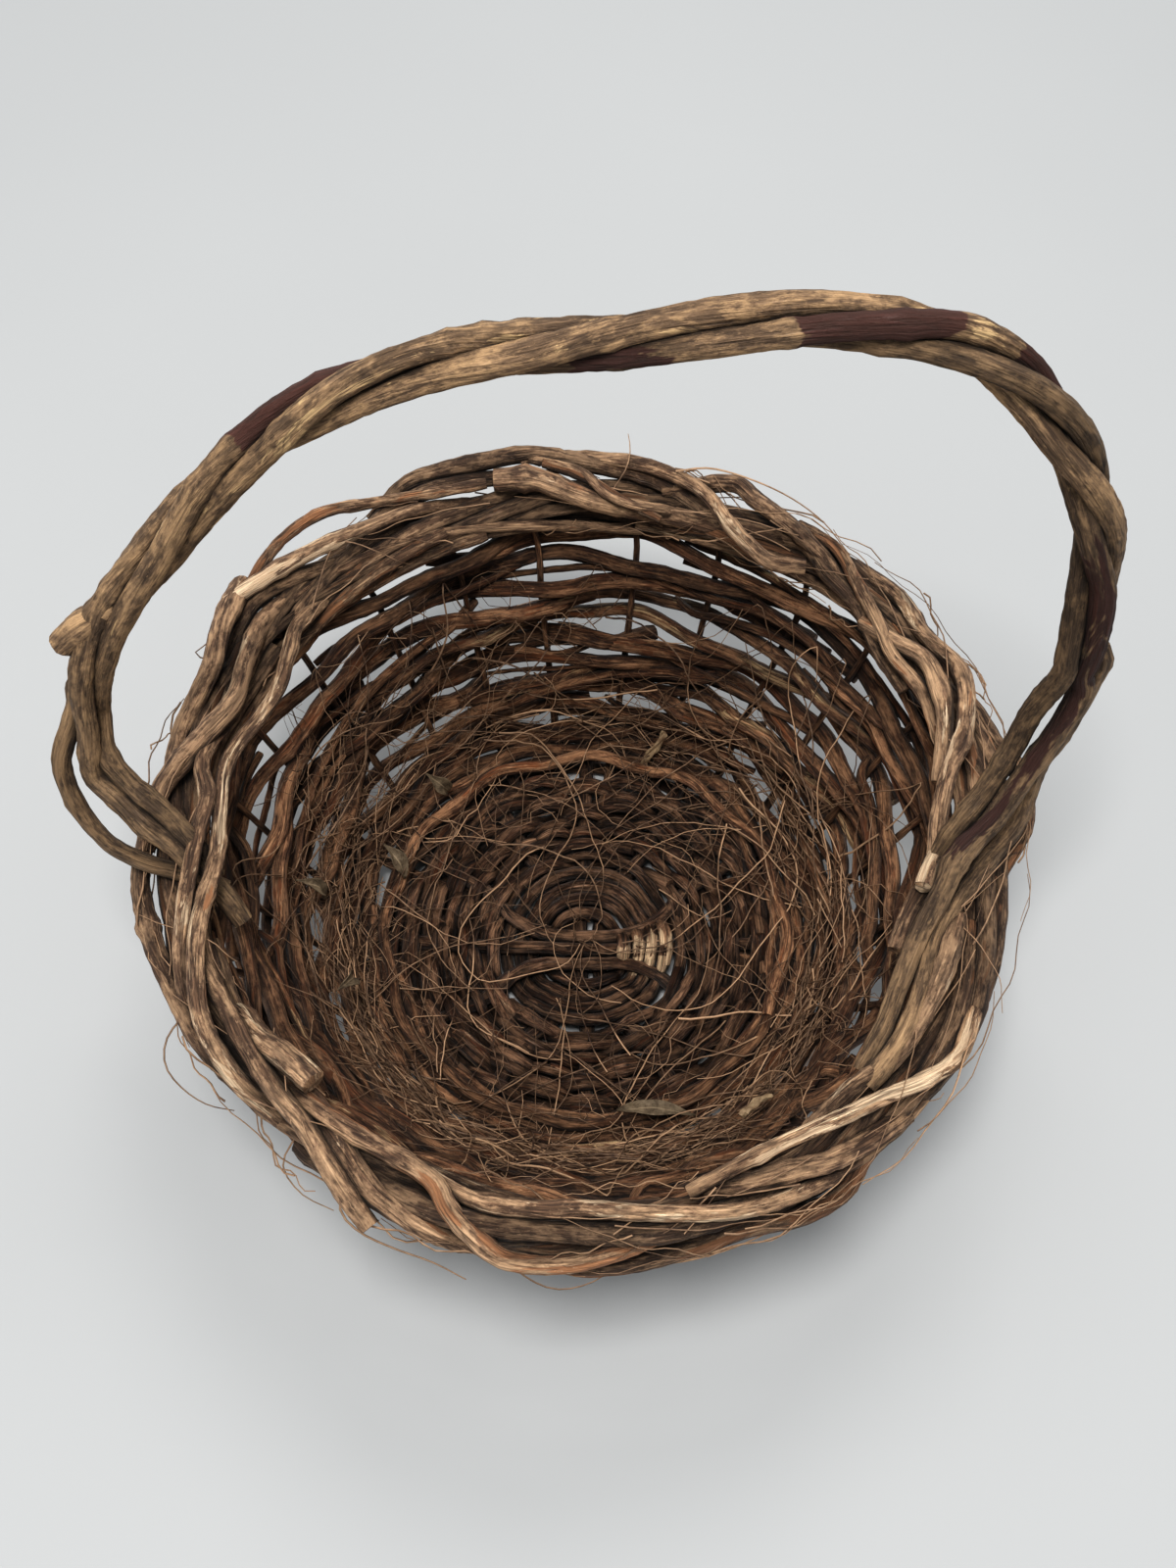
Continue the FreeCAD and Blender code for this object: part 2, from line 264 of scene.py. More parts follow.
def make_bark_grain():
    """Long fibres, ridges, cracks and crumbs of bark. Fineness scales them all."""
    group, start, end = new_group("bark_grain", [("Place", "Vector", None), ("Fineness", "Float", 1.0)],
                                  [("Streaks", "Float"), ("Cracks", "Float"), ("Height", "Float")])
    w = Wiring(group)
    place = w.grown(start.outputs["Place"], start.outputs["Fineness"])
    fibres = w.noise(w.scaled(place, (1.0, 1.0, 0.05)), 1.9, 4.0, 0.65, 0.15)
    ridges = w.noise(w.scaled(place, (1.0, 1.0, 0.05)), 0.75, 3.0, 0.55, 0.35)
    streaks = w.between(w.weighted(fibres, 0.45, ridges, 0.55), 0.41, 0.59)
    wander = w.moved(w.scaled(place, (1.0, 1.0, 0.09)), (3.1, 7.7, 1.3))
    splits = w.between(w.cells(wander, 0.42), 0.02, 0.16)
    closed = w.between(w.noise(w.scaled(place, (0.5, 0.5, 0.12)), 0.35, 2.0, 0.5), 0.42, 0.58)
    cracks = w.math("MAXIMUM", splits, closed)
    crumbs = w.noise(place, 1.4, 5.0, 0.72)
    height = w.math("ADD", w.weighted(streaks, 0.55, cracks, 0.40), w.math("MULTIPLY", crumbs, 0.35))
    w.give(end, Streaks=streaks, Cracks=cracks, Height=height)
    return group


def make_bark_patches():
    """Masks of the larger colour changes: worn light patches, red inner bark, peeled wood and soot."""
    group, start, end = new_group(
        "bark_patches", [("Place", "Vector", None), ("Peel", "Float", 0.0), ("Red", "Float", 0.0)],
        [("Worn", "Float"), ("Red", "Float"), ("Peeled", "Float"), ("Soot", "Float"), ("Flecks", "Float")])
    w = Wiring(group)

    def spots(stretch, offset, scale, detail, rough, distortion=0.0):
        place = w.moved(w.scaled(start.outputs["Place"], (1.0, 1.0, stretch)), offset)
        return w.noise(place, scale, detail, rough, distortion)

    def spreading(noise, amount, softness):
        edge = w.math("SUBTRACT", 0.80, w.math("MULTIPLY", start.outputs[amount], 0.50))
        return w.between(w.math("SUBTRACT", noise, edge), 0.0, softness)

    broad = spots(0.30, (0.0, 0.0, 0.0), 0.10, 4.0, 0.62, 0.6)
    mottle = spots(0.45, (40.0, 9.0, 2.0), 0.35, 5.0, 0.68, 0.4)
    red = spots(0.22, (5.0, 80.0, 11.0), 0.11, 4.0, 0.6, 0.5)
    peeled = spots(0.20, (90.0, 3.0, 31.0), 0.12, 5.0, 0.66, 0.7)
    soot = spots(0.5, (9.0, 33.0, 70.0), 0.16, 4.0, 0.65)
    flecks = spots(0.3, (17.0, 50.0, 23.0), 0.55, 4.0, 0.7)
    w.give(end, Worn=w.between(w.weighted(broad, 0.55, mottle, 0.45), 0.46, 0.56),
           Red=spreading(red, "Red", 0.035), Peeled=spreading(peeled, "Peel", 0.03),
           Soot=w.between(soot, 0.50, 0.66), Flecks=w.between(flecks, 0.60, 0.66))
    return group


def make_bark_colour():
    """Bark colour from its masks; Tone lightens or darkens a whole rod."""
    group, start, end = new_group(
        "bark_colour",
        [("Dark", "Color", None), ("Middle", "Color", None), ("Worn Colour", "Color", None),
         ("Red Colour", "Color", None), ("Peeled Colour", "Color", None), ("Streaks", "Float", 0.5),
         ("Cracks", "Float", 1.0), ("Worn", "Float", 0.0), ("Red", "Float", 0.0),
         ("Peeled", "Float", 0.0), ("Soot", "Float", 0.0), ("Flecks", "Float", 0.0),
         ("Tone", "Float", 0.5), ("Contrast", "Float", 1.0)],
        [("Colour", "Color")])
    w = Wiring(group)
    g = dict(start.outputs.items())
    centred = w.math("MULTIPLY", w.math("SUBTRACT", g["Streaks"], 0.5), g["Contrast"])
    g["Streaks"] = w.math("ADD", centred, 0.5)
    open_cracks = w.math("MULTIPLY", w.math("SUBTRACT", 1.0, g["Cracks"]), g["Contrast"])
    g["Cracks"] = w.math("SUBTRACT", 1.0, open_cracks)
    g["Soot"] = w.math("MULTIPLY", g["Soot"], g["Contrast"])
    bark = w.mix(w.math("MULTIPLY", g["Streaks"], 0.85), g["Dark"], g["Middle"])
    bark = w.mix(w.math("MULTIPLY", g["Worn"], 0.75), bark,
                 w.mix(w.between(g["Streaks"], 0.0, 1.0, 0.35, 1.0), g["Middle"], g["Worn Colour"]))
    bark = w.mix(w.math("MULTIPLY", g["Soot"], 0.60), bark, g["Dark"])
    bark = w.mix(w.math("MULTIPLY", g["Flecks"], 0.45), bark, g["Worn Colour"])
    reddish = w.mix(w.between(g["Streaks"], 0.0, 1.0, 0.45, 1.0), g["Dark"], g["Red Colour"])
    bark = w.mix(g["Red"], bark, reddish)
    wood = w.mix(w.between(g["Streaks"], 0.0, 1.0, 0.15, 1.0), g["Middle"], g["Peeled Colour"])
    bark = w.mix(g["Peeled"], bark, wood)
    bark = w.mix(w.between(g["Cracks"], 0.0, 1.0, 0.80, 0.0), bark, g["Dark"])
    level = w.between(g["Tone"], 0.0, 1.0, 0.48, 2.40)
    grey = w.tree.nodes.new("ShaderNodeCombineColor")
    for socket in grey.inputs[:3]:
        w.link(level, socket)
    w.give(end, Colour=w.mix(1.0, bark, grey.outputs[0], "MULTIPLY"))
    return group


# Painted shade: the bark is painted near-black where another rod comes this close, in the creases between
# rods where shade falls.
CREASE_REACH = 13 * MM       # another rod nearer than this darkens the bark between them
PAINTED_CREASE_SHADE = colour(0.004, 0.0025, 0.0015)
GROUPS = {
    "space": make_rod_space(),
    "grain": make_bark_grain(),
    "patches": make_bark_patches(),
    "colour": make_bark_colour(),
}


def new_material(name):
    material = bpy.data.materials.new(name)
    material.use_nodes = True
    shader = material.node_tree.nodes["Principled BSDF"]
    shader.inputs["Specular IOR Level"].default_value = 0.38
    return material, Wiring(material.node_tree), shader


def bark_material(name, dark, middle, worn, red, peeled, depth, fineness=1.0, contrast=1.0,
                  roughness=(0.80, 0.48)):
    """Bark on a rod. The rod's own map gives the grain; its tone attribute gives shade, peel and red.
    Painted shade darkens the bark in the creases between rods.
    """
    material, w, shader = new_material(name)
    tree = material.node_tree
    shade, peel, red_share = w.tones()
    rod_map = tree.nodes.new("ShaderNodeUVMap").outputs["UV"]
    place = w.group(GROUPS["space"], Map=rod_map)["Place"]
    grain = w.group(GROUPS["grain"], Place=place, Fineness=fineness)
    patches = w.group(GROUPS["patches"], Place=place, Peel=peel, Red=red_share)
    masks = {word: patches[word] for word in ("Worn", "Red", "Peeled", "Soot", "Flecks")}
    bark = w.group(GROUPS["colour"], Dark=colour(*dark), Middle=colour(*middle),
                   Worn_Colour=colour(*worn), Red_Colour=colour(*red), Peeled_Colour=colour(*peeled),
                   Streaks=grain["Streaks"], Cracks=grain["Cracks"], Tone=shade, Contrast=contrast, **masks)
    # Painted shade: an ambient occlusion node darkens the bark colour towards near-black in the creases
    # between rods.
    creases = tree.nodes.new("ShaderNodeAmbientOcclusion")
    creases.samples = 4
    creases.inputs["Distance"].default_value = CREASE_REACH
    crease_shade_mask = w.between(creases.outputs["AO"], 0.16, 0.88, 0.96, 0.0)
    w.paint(shader, w.mix(crease_shade_mask, bark["Colour"], PAINTED_CREASE_SHADE), w.between(grain["Streaks"], 0.0, 1.0, *roughness))
    w.bump(shader, grain["Height"], depth, 0.9)
    return material


def cut_wood_material():
    """End grain of a cut rod: pale and darker wood in blotches, with fine specks."""
    material, w, shader = new_material("cut_wood")
    place = w.object_place(1000.0)
    coarse = w.noise(place, 0.35, 5.0, 0.7)
    fine = w.noise(place, 2.2, 3.0, 0.6)
    base = w.mix(w.between(coarse, 0.35, 0.65), colour(0.20, 0.11, 0.055), colour(0.62, 0.44, 0.26))
    w.paint(shader, w.mix(w.between(fine, 0.35, 0.7, 0.0, 0.5), base, colour(0.30, 0.18, 0.10)),
            w.between(coarse, 0.3, 0.7, 0.9, 0.7))
    w.bump(shader, fine, 0.0006)
    return material


def fibre_material(name, dark, light):
    """Wiry rootlets: each strand has its own shade, with small spots."""
    material, w, shader = new_material(name)
    place = w.object_place(1000.0)
    spots = w.noise(place, 0.22, 4.0, 0.6)
    share = w.math("ADD", w.math("MULTIPLY", w.tones()[0], 0.75), w.between(spots, 0.35, 0.65, 0.0, 0.25))
    w.paint(shader, w.mix(share, colour(*dark), colour(*light)), w.between(spots, 0.3, 0.7, 0.75, 0.5))
    w.bump(shader, w.noise(place, 1.5, 3.0, 0.6), 0.0002)
    return material


def leaf_material(name, dark, light, veins):
    """Dry leaf or chip: blotched, with a pale rib along the middle where it has veins."""
    material, w, shader = new_material(name)
    place = w.object_place(1000.0)
    blotch = w.between(w.noise(place, 0.25, 5.0, 0.65), 0.35, 0.65)
    shade = w.mix(blotch, colour(*dark), colour(*light))
    parts = w.tree.nodes.new("ShaderNodeSeparateXYZ")
    w.link(w.tree.nodes.new("ShaderNodeUVMap").outputs["UV"], parts.inputs[0])
    aside = w.math("ABSOLUTE", w.math("SUBTRACT", parts.outputs["Y"], 0.5))
    rib = w.between(aside, 0.02, 0.06, veins, 0.0)
    slanted = w.weighted(parts.outputs["X"], 60.0, aside, -50.0)
    side_veins = w.between(w.math("SINE", slanted), 0.75, 1.0, 0.0, veins * 0.5)
    share = w.math("MAXIMUM", rib, side_veins)
    w.paint(shader, w.mix(share, shade, colour(*[min(c * 1.6, 0.8) for c in light])),
            w.between(blotch, 0.0, 1.0, 0.85, 0.6))
    w.bump(shader, w.math("ADD", share, w.noise(place, 0.8, 4.0, 0.6)), 0.0004)
    return material


def floor_material():
    material, w, shader = new_material("pale_floor")
    cloud = w.noise(w.object_place(1.0), 1.2, 3.0, 0.5)
    pale = w.mix(w.between(cloud, 0.3, 0.7), colour(0.465, 0.466, 0.462), colour(0.495, 0.496, 0.491))
    w.paint(shader, pale, 0.75)
    return material


# ---------------------------------------------------------------- rods

PROFILES = {}


def closed_outline(radii):
    """Flat closed curve with one point per radius, to sweep along another curve."""
    outline = bpy.data.curves.new("outline", "CURVE")
    outline.dimensions = "2D"
    spline = outline.splines.new("POLY")
    spline.points.add(len(radii) - 1)
    for i, radius in enumerate(radii):
        turn = FULL_TURN * i / len(radii)
        spline.points[i].co = (radius * math.cos(turn), radius * math.sin(turn), 0, 1)
    spline.use_cyclic_u = True
    return bpy.data.objects.new("outline", outline)


def rod_profile(sides, variant):
    """Closed outline of a rod: round with shallow ribs, one unit in radius."""
    key = (sides, variant)
    if key in PROFILES:
        return PROFILES[key]
    chance = random.Random(sides * 100 + variant)
    phases = [chance.uniform(0, FULL_TURN) for _ in range(3)]
    radii = []
    for i in range(sides):
        turn = FULL_TURN * i / sides
        radius = 1 + 0.06 * math.sin(2 * turn + phases[0]) + 0.03 * math.sin(3 * turn + phases[1])
        radii.append(radius + 0.03 * math.sin(5 * turn + phases[2]) + chance.uniform(-0.025, 0.025))
    PROFILES[key] = closed_outline(radii)
    return PROFILES[key]


def smooth_line(points, step):
    """Even points, about one step apart, on a smooth line through the given points."""
    padded = [points[0] * 2 - points[1]] + list(points) + [points[-1] * 2 - points[-2]]
    fine = []
    for a, b, c, d in zip(padded, padded[1:], padded[2:], padded[3:]):
        count = max(2, int((c - b).length / step * 2))
        for k in range(count):
            t = k / count
            fine.append((b * 2 + (c - a) * t + (a * 2 - b * 5 + c * 4 - d) * t * t
                         + (b * 3 - a - c * 3 + d) * t * t * t) * 0.5)
    fine.append(points[-1].copy())
    lengths = [0.0]
    for a, b in zip(fine, fine[1:]):
        lengths.append(lengths[-1] + (b - a).length)
    steps = max(2, round(lengths[-1] / step))
    even = []
    j = 0
    for i in range(steps + 1):
        target = lengths[-1] * i / steps
        while j < len(lengths) - 2 and lengths[j + 1] < target:
            j += 1
        part = (target - lengths[j]) / max(lengths[j + 1] - lengths[j], 1e-9)
        even.append(fine[j].lerp(fine[j + 1], min(part, 1.0)))
    return even


def swept_curve(name, outline):
    """Curve in space that sweeps an outline, with closed ends."""
    curve = bpy.data.curves.new(name, "CURVE")
    curve.dimensions = "3D"
    curve.twist_mode = "MINIMUM"
    curve.bevel_mode = "OBJECT"
    curve.bevel_object = outline
    curve.use_fill_caps = True
    return curve


def add_spline(curve, points, radii, tilts):
    spline = curve.splines.new("POLY")
    spline.points.add(len(points) - 1)
    for target, point, radius, tilt in zip(spline.points, points, radii, tilts):
        target.co = (*point, 1)
        target.radius = radius
        target.tilt = tilt


def select_only(*chosen):
    """Selects these objects alone; the first is the active one."""
    bpy.ops.object.select_all(action="DESELECT")
    for item in chosen:
        item.select_set(True)
    bpy.context.view_layer.objects.active = chosen[0]


def to_mesh(curve, name):
    """Curve data turned into a mesh object that is selected and active."""
    made = bpy.data.objects.new(name, curve)
    bpy.context.scene.collection.objects.link(made)
    select_only(made)
    bpy.ops.object.convert(target="MESH")
    return bpy.context.view_layer.objects.active


def joined(parts, name):
    """Several mesh objects made one, under one name."""
    select_only(*parts)
    if len(parts) > 1:
        bpy.ops.object.join()
    piece = bpy.context.view_layer.objects.active
    piece.name = name
    piece.data.name = name
    return piece


def add_tones(mesh, values):
    """Colour attribute of a mesh; vertices past the given values, those of the caps, get a plain one."""
    values += [0.5, 0.0, 0.0, 1.0] * (len(mesh.vertices) - len(values) // 4)
    mesh.color_attributes.new("tone", "FLOAT_COLOR", "POINT").data.foreach_set("color", values)


def at_share(stops, share):
    """Value at a share of a rod's length, from (share, value) stops; values are numbers or tuples."""
    if share <= stops[0][0]:
        return stops[0][1]
    for (low, first), (high, second) in zip(stops, stops[1:]):
        if share <= high:
            part = (share - low) / (high - low)
            if isinstance(first, tuple):
                return tuple(p + (q - p) * part for p, q in zip(first, second))
            return first + (second - first) * part
    return stops[-1][1]


def set_tones(rod, stops, rings, shade):
    """Shade, peel and red along a rod, kept as a colour attribute."""
    sides = len(rod.data.vertices) // rings
    values = []
    for ring in range(rings):
        tone = at_share(stops, ring / (rings - 1))
        values += (min(max(tone[0] + shade, 0.0), 1.0), tone[1], tone[2], 1.0) * sides
    add_tones(rod.data, values)


def vine(points, girth, tones, seed, sides=12, step=3.5 * MM, wobble=0.5 * MM, lumps=0.07, twist=1.5):
    """One bark-covered rod through the points, with knots, wobble, ribs and two cut ends.

    girth and tones are one value, or stops along the rod: (share, radius) and (share, tone)."""
    chance = random.Random(seed)
    girth = girth if isinstance(girth, list) else [(0.0, girth)]
    tones = tones if isinstance(tones, list) else [(0.0, tones)]
    line = smooth_line([Vector(p) for p in points], step)
    length = step * (len(line) - 1)
    waves = [(chance.uniform(20, 90), chance.uniform(*PHASES), chance.uniform(0.5, 1.0)) for _ in range(5)]
    knots = [chance.uniform(0.0, length) for _ in range(int(length / (70 * MM)) + 1)]
    radii = []
    tilts = []
    moved = []
    for i, point in enumerate(line):
        along = i * step
        swell = sum(a * math.sin(f * along + p) for f, p, a in waves) / 3
        radius = at_share(girth, i / (len(line) - 1))
        radius *= 1 + lumps * swell + chance.uniform(-0.02, 0.02)
        for knot in knots:
            radius *= 1 + 0.15 * math.exp(-((along - knot) / (3.5 * MM)) ** 2)
        radii.append(radius)
        tilts.append(twist * along + 0.25 * swell)
        push = Vector((math.sin(31 * along + waves[0][1]), math.sin(37 * along + waves[1][1]),
                       math.sin(43 * along + waves[2][1])))
        moved.append(point + push * wobble)
    radii[0] *= 0.92
    radii[-1] *= 0.92
    curve = swept_curve("rod", rod_profile(sides, chance.randrange(4)))
    add_spline(curve, moved, radii, tilts)
    rod = to_mesh(curve, "rod")
    mesh = rod.data
    coords = [0.0] * (2 * len(mesh.loops))
    layer = mesh.uv_layers["UVMap"].data
    layer.foreach_get("uv", coords)
    shift = chance.uniform(0, 40)
    coords[0::2] = [u * length + shift for u in coords[0::2]]
    layer.foreach_set("uv", coords)
    mesh.materials.append(None)
    mesh.materials.append(None)
    for face in mesh.polygons:
        is_bark = len(face.vertices) == 4
        face.use_smooth = is_bark
        face.material_index = 0 if is_bark else 1
    set_tones(rod, tones, len(line), chance.uniform(-0.08, 0.08))
    return rod


TEXTURES = {}


def clouds(size):
    if size not in TEXTURES:
        texture = bpy.data.textures.new("lumps_%d" % round(size / MM * 10), "CLOUDS")
        texture.noise_scale = size
        texture.noise_depth = 2
        TEXTURES[size] = texture
    return TEXTURES[size]


def roughen(piece, size, strength):
    """Small lumps pressed into a piece with a displace modifier."""
    lumps = piece.modifiers.new("lumps", "DISPLACE")
    lumps.texture = clouds(size)
    lumps.texture_coords = "LOCAL"
    lumps.strength = strength
    lumps.mid_level = 0.5
    select_only(piece)
    bpy.ops.object.modifier_apply(modifier=lumps.name)


def finish_piece(rods, word, bark, node, rough=0.9 * MM):
    """Joins rods into one named piece, roughens it and lets it stand for its node."""
    piece = joined(rods, word + "_" + node)
    piece.data.materials[0] = MATERIALS[bark]
    piece.data.materials[1] = MATERIALS["cut"]
    roughen(piece, 6 * MM, rough)
    roughen(piece, 1.8 * MM, rough * 0.8)
    bpy.ops.object.mode_set(mode="EDIT")
    bpy.ops.mesh.select_all(action="SELECT")
    bpy.ops.mesh.normals_make_consistent(inside=False)
    bpy.ops.object.mode_set(mode="OBJECT")
    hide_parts(node)
    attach(piece, "root")


# ---------------------------------------------------------------- wall

def woven_points(start, sweep, level, shift, swing, slant, chance):
    """A rod that passes inside two stakes, then outside two; shift moves the pattern by stakes."""
    count = max(int(sweep / STAKE_STEP * 4), 4)
    phase = chance.uniform(0, FULL_TURN)
    tightness = [chance.uniform(0.7, 1.15) for _ in STAKES]
    points = []
    for i in range(count + 1):
        share = i / count
        angle = start + sweep * share
        weave = math.cos((angle / STAKE_STEP + shift) * math.pi / 2)
        weave = min(max(1.45 * weave, -1), 1)
        stake_beside = round((angle - STAKE_STEP / 2) / STAKE_STEP) % len(STAKES)
        out = swing * weave * tightness[stake_beside] + 0.8 * MM * math.sin(5.3 * angle + phase)
        tuck = max(1 - min(share, 1 - share) / TUCKED_SHARE, 0)
        out += (swing - out) * tuck
        here = level + slant * (share - 0.5) + 0.018 * math.sin(9 * angle + phase)
        here += 0.008 * math.sin(17 * angle + 2 * phase)
        points.append(wall_place(angle, here, out))
    return points


def wall_tone(chance):
    """Most wall rods are reddish brown, some dark, a few with worn or peeled stretches."""
    shade = chance.choice([0.22, 0.35, 0.45, 0.55, 0.65]) + chance.uniform(-0.06, 0.06)
    peel = chance.choice([0.0, 0.0, 0.1, 0.2, 0.45])
    return shade, peel, chance.uniform(0.1, 0.55)


STOUT_RODS = 3               # in each wall round
THIN_RODS = 4
TOP_THIN_RODS = 8            # in the round under the rim
CLIMBING_STEPS = 12


def make_wall_round(number):
    """One wall round: stout rods that overlap at their ends, and thin ones between the rounds."""
    node = WALL_ROUNDS[number]
    chance = random.Random(100 + number)
    level = number / (len(WALL_ROUNDS) - 1)
    rods = []
    first = chance.uniform(0, FULL_TURN)
    for i in range(STOUT_RODS):
        start = first + i * FULL_TURN / STOUT_RODS
        sweep = FULL_TURN / STOUT_RODS + STAKE_STEP * chance.uniform(0.8, 2.2)
        thick = WALL_ROD / 2 * chance.uniform(0.95, 1.15)
        thin = WALL_ROD / 2 * chance.uniform(0.72, 0.95)
        slant = chance.uniform(-0.035, 0.035)
        points = woven_points(start, sweep, level, number, WALL_SWING, slant, chance)
        rods.append(vine(points, [(0, thick), (1, thin)], wall_tone(chance), chance.random(), sides=12,
                         step=4 * MM))
    top_round = number == len(WALL_ROUNDS) - 1
    for _ in range(TOP_THIN_RODS if top_round else THIN_RODS):
        start = chance.uniform(0, FULL_TURN)
        sweep = chance.uniform(0.8, 1.9)
        radius = (chance.uniform(2.6, 3.6) if top_round else chance.uniform(1.4, 2.9)) * MM
        between = level + chance.uniform(0.03, 0.07) * (1 if top_round else chance.choice((-1, 1)))
        between = max(between, -0.02)
        slant = chance.uniform(-0.05, 0.05) if top_round else chance.uniform(-0.16, 0.16)
        points = woven_points(start, sweep, between, chance.randrange(4), WALL_SWING * 0.7, slant, chance)
        rods.append(vine(points, taper(radius, 0.75), wall_tone(chance), chance.random(),
                         sides=10, step=4 * MM, wobble=0.9 * MM))
    if 1 < number < len(WALL_ROUNDS) - 1:
        rods.append(crossing_rod(level, chance))
    finish_piece(rods, "woven", "wall", node)


def crossing_rod(level, chance):
    """A rod on the inside of the wall that climbs or falls across the rounds."""
    start = chance.uniform(0, FULL_TURN)
    sweep = chance.uniform(0.6, 1.3)
    climb = chance.uniform(0.16, 0.34) * chance.choice((-1, 1))
    phase = chance.uniform(0, FULL_TURN)
    points = []
    for i in range(CLIMBING_STEPS + 1):
        share = i / CLIMBING_STEPS
        here = min(max(level + climb * (share - 0.5), 0.05), 0.98)
        out = -WALL_SWING * (0.85 + 0.2 * math.sin(7 * share + phase))
        if i in (0, CLIMBING_STEPS):
            out = WALL_SWING
        points.append(wall_place(start + sweep * share, here, out))
    radius = chance.uniform(2.6, 3.9) * MM
    return vine(points, taper(radius, 0.7), wall_tone(chance), chance.random(), sides=10, step=4 * MM,
                wobble=0.9 * MM)


def make_stake(number):
    """Upright rod between the weave; its foot lies in the base and its top turns aside into the rim."""
    node = STAKES[number]
    chance = random.Random(500 + number)
    angle = STAKE_STEP * (number + 0.5)
    lean = chance.uniform(-0.03, 0.03)
    points = [polar(angle, 0.6 * FIRST_RADIUS, BASE_MIDDLE), polar(angle, FIRST_RADIUS * 0.83, BASE_MIDDLE),
              wall_place(angle, -0.05), wall_place(angle + lean * 0.4, 0.3),
              wall_place(angle + lean, 0.7), wall_place(angle + lean, 1.02),
              polar(angle + lean + 0.05, RIM_RADIUS - 2 * MM, RIM_HEIGHT - 4 * MM),
              polar(angle + lean + 0.16, RIM_RADIUS, RIM_HEIGHT - 2 * MM)]
    tone = (chance.uniform(0.25, 0.45), 0.0, 0.4)
    rod = vine(points, [(0, 3.2 * MM), (0.35, 1.8 * MM), (1, 1.6 * MM)], tone, 500 + number, sides=10,
               step=4 * MM)
    finish_piece([rod], "upright", "wall", node, rough=0.6 * MM)


# ---------------------------------------------------------------- base

CROSS_SHIFT = 8 * MM         # the cross and the inner rounds sit this far towards the front
BASE_EDGE = ring_size("base_edge_rod")[0]


def base_place(angle, radius, height):
    """Point of the base; the cross lies a little off the middle and the outer rounds don't."""
    here = polar(angle, radius, height)
    here.y -= CROSS_SHIFT * max(1 - radius / BASE_EDGE, 0)
    return here


def make_stick(word, number, offset, side, turn):
    """A stick of the cross: straight through the middle, then fanned outwards."""
    node = "base_stick_%s_%d" % (word, number + 1)
    chance = random.Random(node)
    fan = (number - 1) * math.pi / 6
    over = BASE_MIDDLE + side * 3.6 * MM
    half = [(10 * MM, offset, over), (22 * MM, offset * 1.1, over)]
    for share, radius, height in ((0.75, 40 * MM, BASE_MIDDLE + side * 1.6 * MM), (1, 60 * MM, BASE_MIDDLE),
                                  (1, 85 * MM, BASE_MIDDLE), (1, 110 * MM, BASE_MIDDLE)):
        half.append(tuple(polar(fan * share, radius, height)))
    points = []
    for x, y, z in [(-x, y, z) for x, y, z in reversed(half)] + half:
        angle = math.atan2(y, x) + turn
        points.append(base_place(angle, math.hypot(x, y), z))
    tone = (chance.uniform(0.15, 0.35), 0.1, 0.2)
    rod = vine(points, 3.7 * MM, tone, node, sides=12)
    finish_piece([rod], "cross", "base", node)


def make_cross():
    for number, offset in enumerate((-7.6, 0.0, 7.6)):
        make_stick("across", number, offset * MM, 1, 0.0)
    for number, offset in enumerate((-7.4, -2.6, 6.6)):
        make_stick("along", number, -offset * MM, -1, math.pi / 2)


def base_ring(radius, start, sweep, side, swing, spokes, thick, tones, chance):
    """A rod woven over and under the base's spokes."""
    phase = chance.uniform(*PHASES)
    points = []
    for angle in arc(start, sweep, int(sweep / (FULL_TURN / spokes) * 4)):
        weave = side * math.cos(angle * spokes / 2)
        ripple = 1.1 * MM * math.sin(4.1 * angle + phase) + chance.uniform(-0.4, 0.4) * MM
        points.append(base_place(angle, radius + ripple, BASE_MIDDLE + swing * weave))
    return vine(points, taper(thick, 0.85), tones, chance.random(), sides=10, step=3.5 * MM)


def base_tone(chance):
    shade = chance.choice([0.15, 0.3, 0.45, 0.6]) + chance.uniform(-0.06, 0.06)
    return shade, chance.choice([0.0, 0.0, 0.1, 0.3]), chance.uniform(0.1, 0.5)


BASE_RODS = 3                # end to end in each ring of a base round


def make_base_round(number):
    """One base round: two rings woven against each other, of rods that overlap at their ends."""
    node = BASE_ROUNDS[number]
    chance = random.Random(900 + number)
    radius = ring_size(node)[0] - BASE_REACH
    spokes = 12 if number < 2 else 24
    rods = []
    for k, side in enumerate((1, -1)):
        side = side if number % 2 == 0 else -side
        first = chance.uniform(*PHASES)
        here = radius + (k - 0.5) * 3.6 * MM
        for i in range(BASE_RODS):
            start = first + i * FULL_TURN / BASE_RODS
            thick = BASE_ROD / 2 * chance.uniform(0.85, 1.15)
            rods.append(base_ring(here + chance.uniform(-0.6, 0.6) * MM, start,
                                  FULL_TURN / BASE_RODS + 0.35, side, chance.uniform(4.8, 6.4) * MM, spokes,
                                  thick, base_tone(chance), chance))
    finish_piece(rods, "woven", "base", node, rough=0.8 * MM)


RIDE_HEIGHT = 10.2 * MM      # a tie rod's rise where it rides over the upper sticks
RIDE_SPREAD = 0.36           # angle, in radians, at which that rise has faded to about a third
# Pale humps where a tie rod rides over the cross, partly worn bare wood and partly a painted highlight on
# the raised rod: (share of the round, tone).
WORN_AND_LIT_HUMPS = [(0.0, (0.85, 0.85, 0.1)), (0.07, (0.85, 0.8, 0.1)), (0.10, (0.35, 0.1, 0.1)),
         (0.33, (0.25, 0.0, 0.1)), (0.45, (0.3, 0.1, 0.1)), (0.5, (0.6, 0.4, 0.2)),
         (0.56, (0.25, 0.0, 0.1)), (0.92, (0.25, 0.0, 0.1)), (0.96, (0.8, 0.7, 0.1)),
         (1.0, (0.85, 0.8, 0.1))]


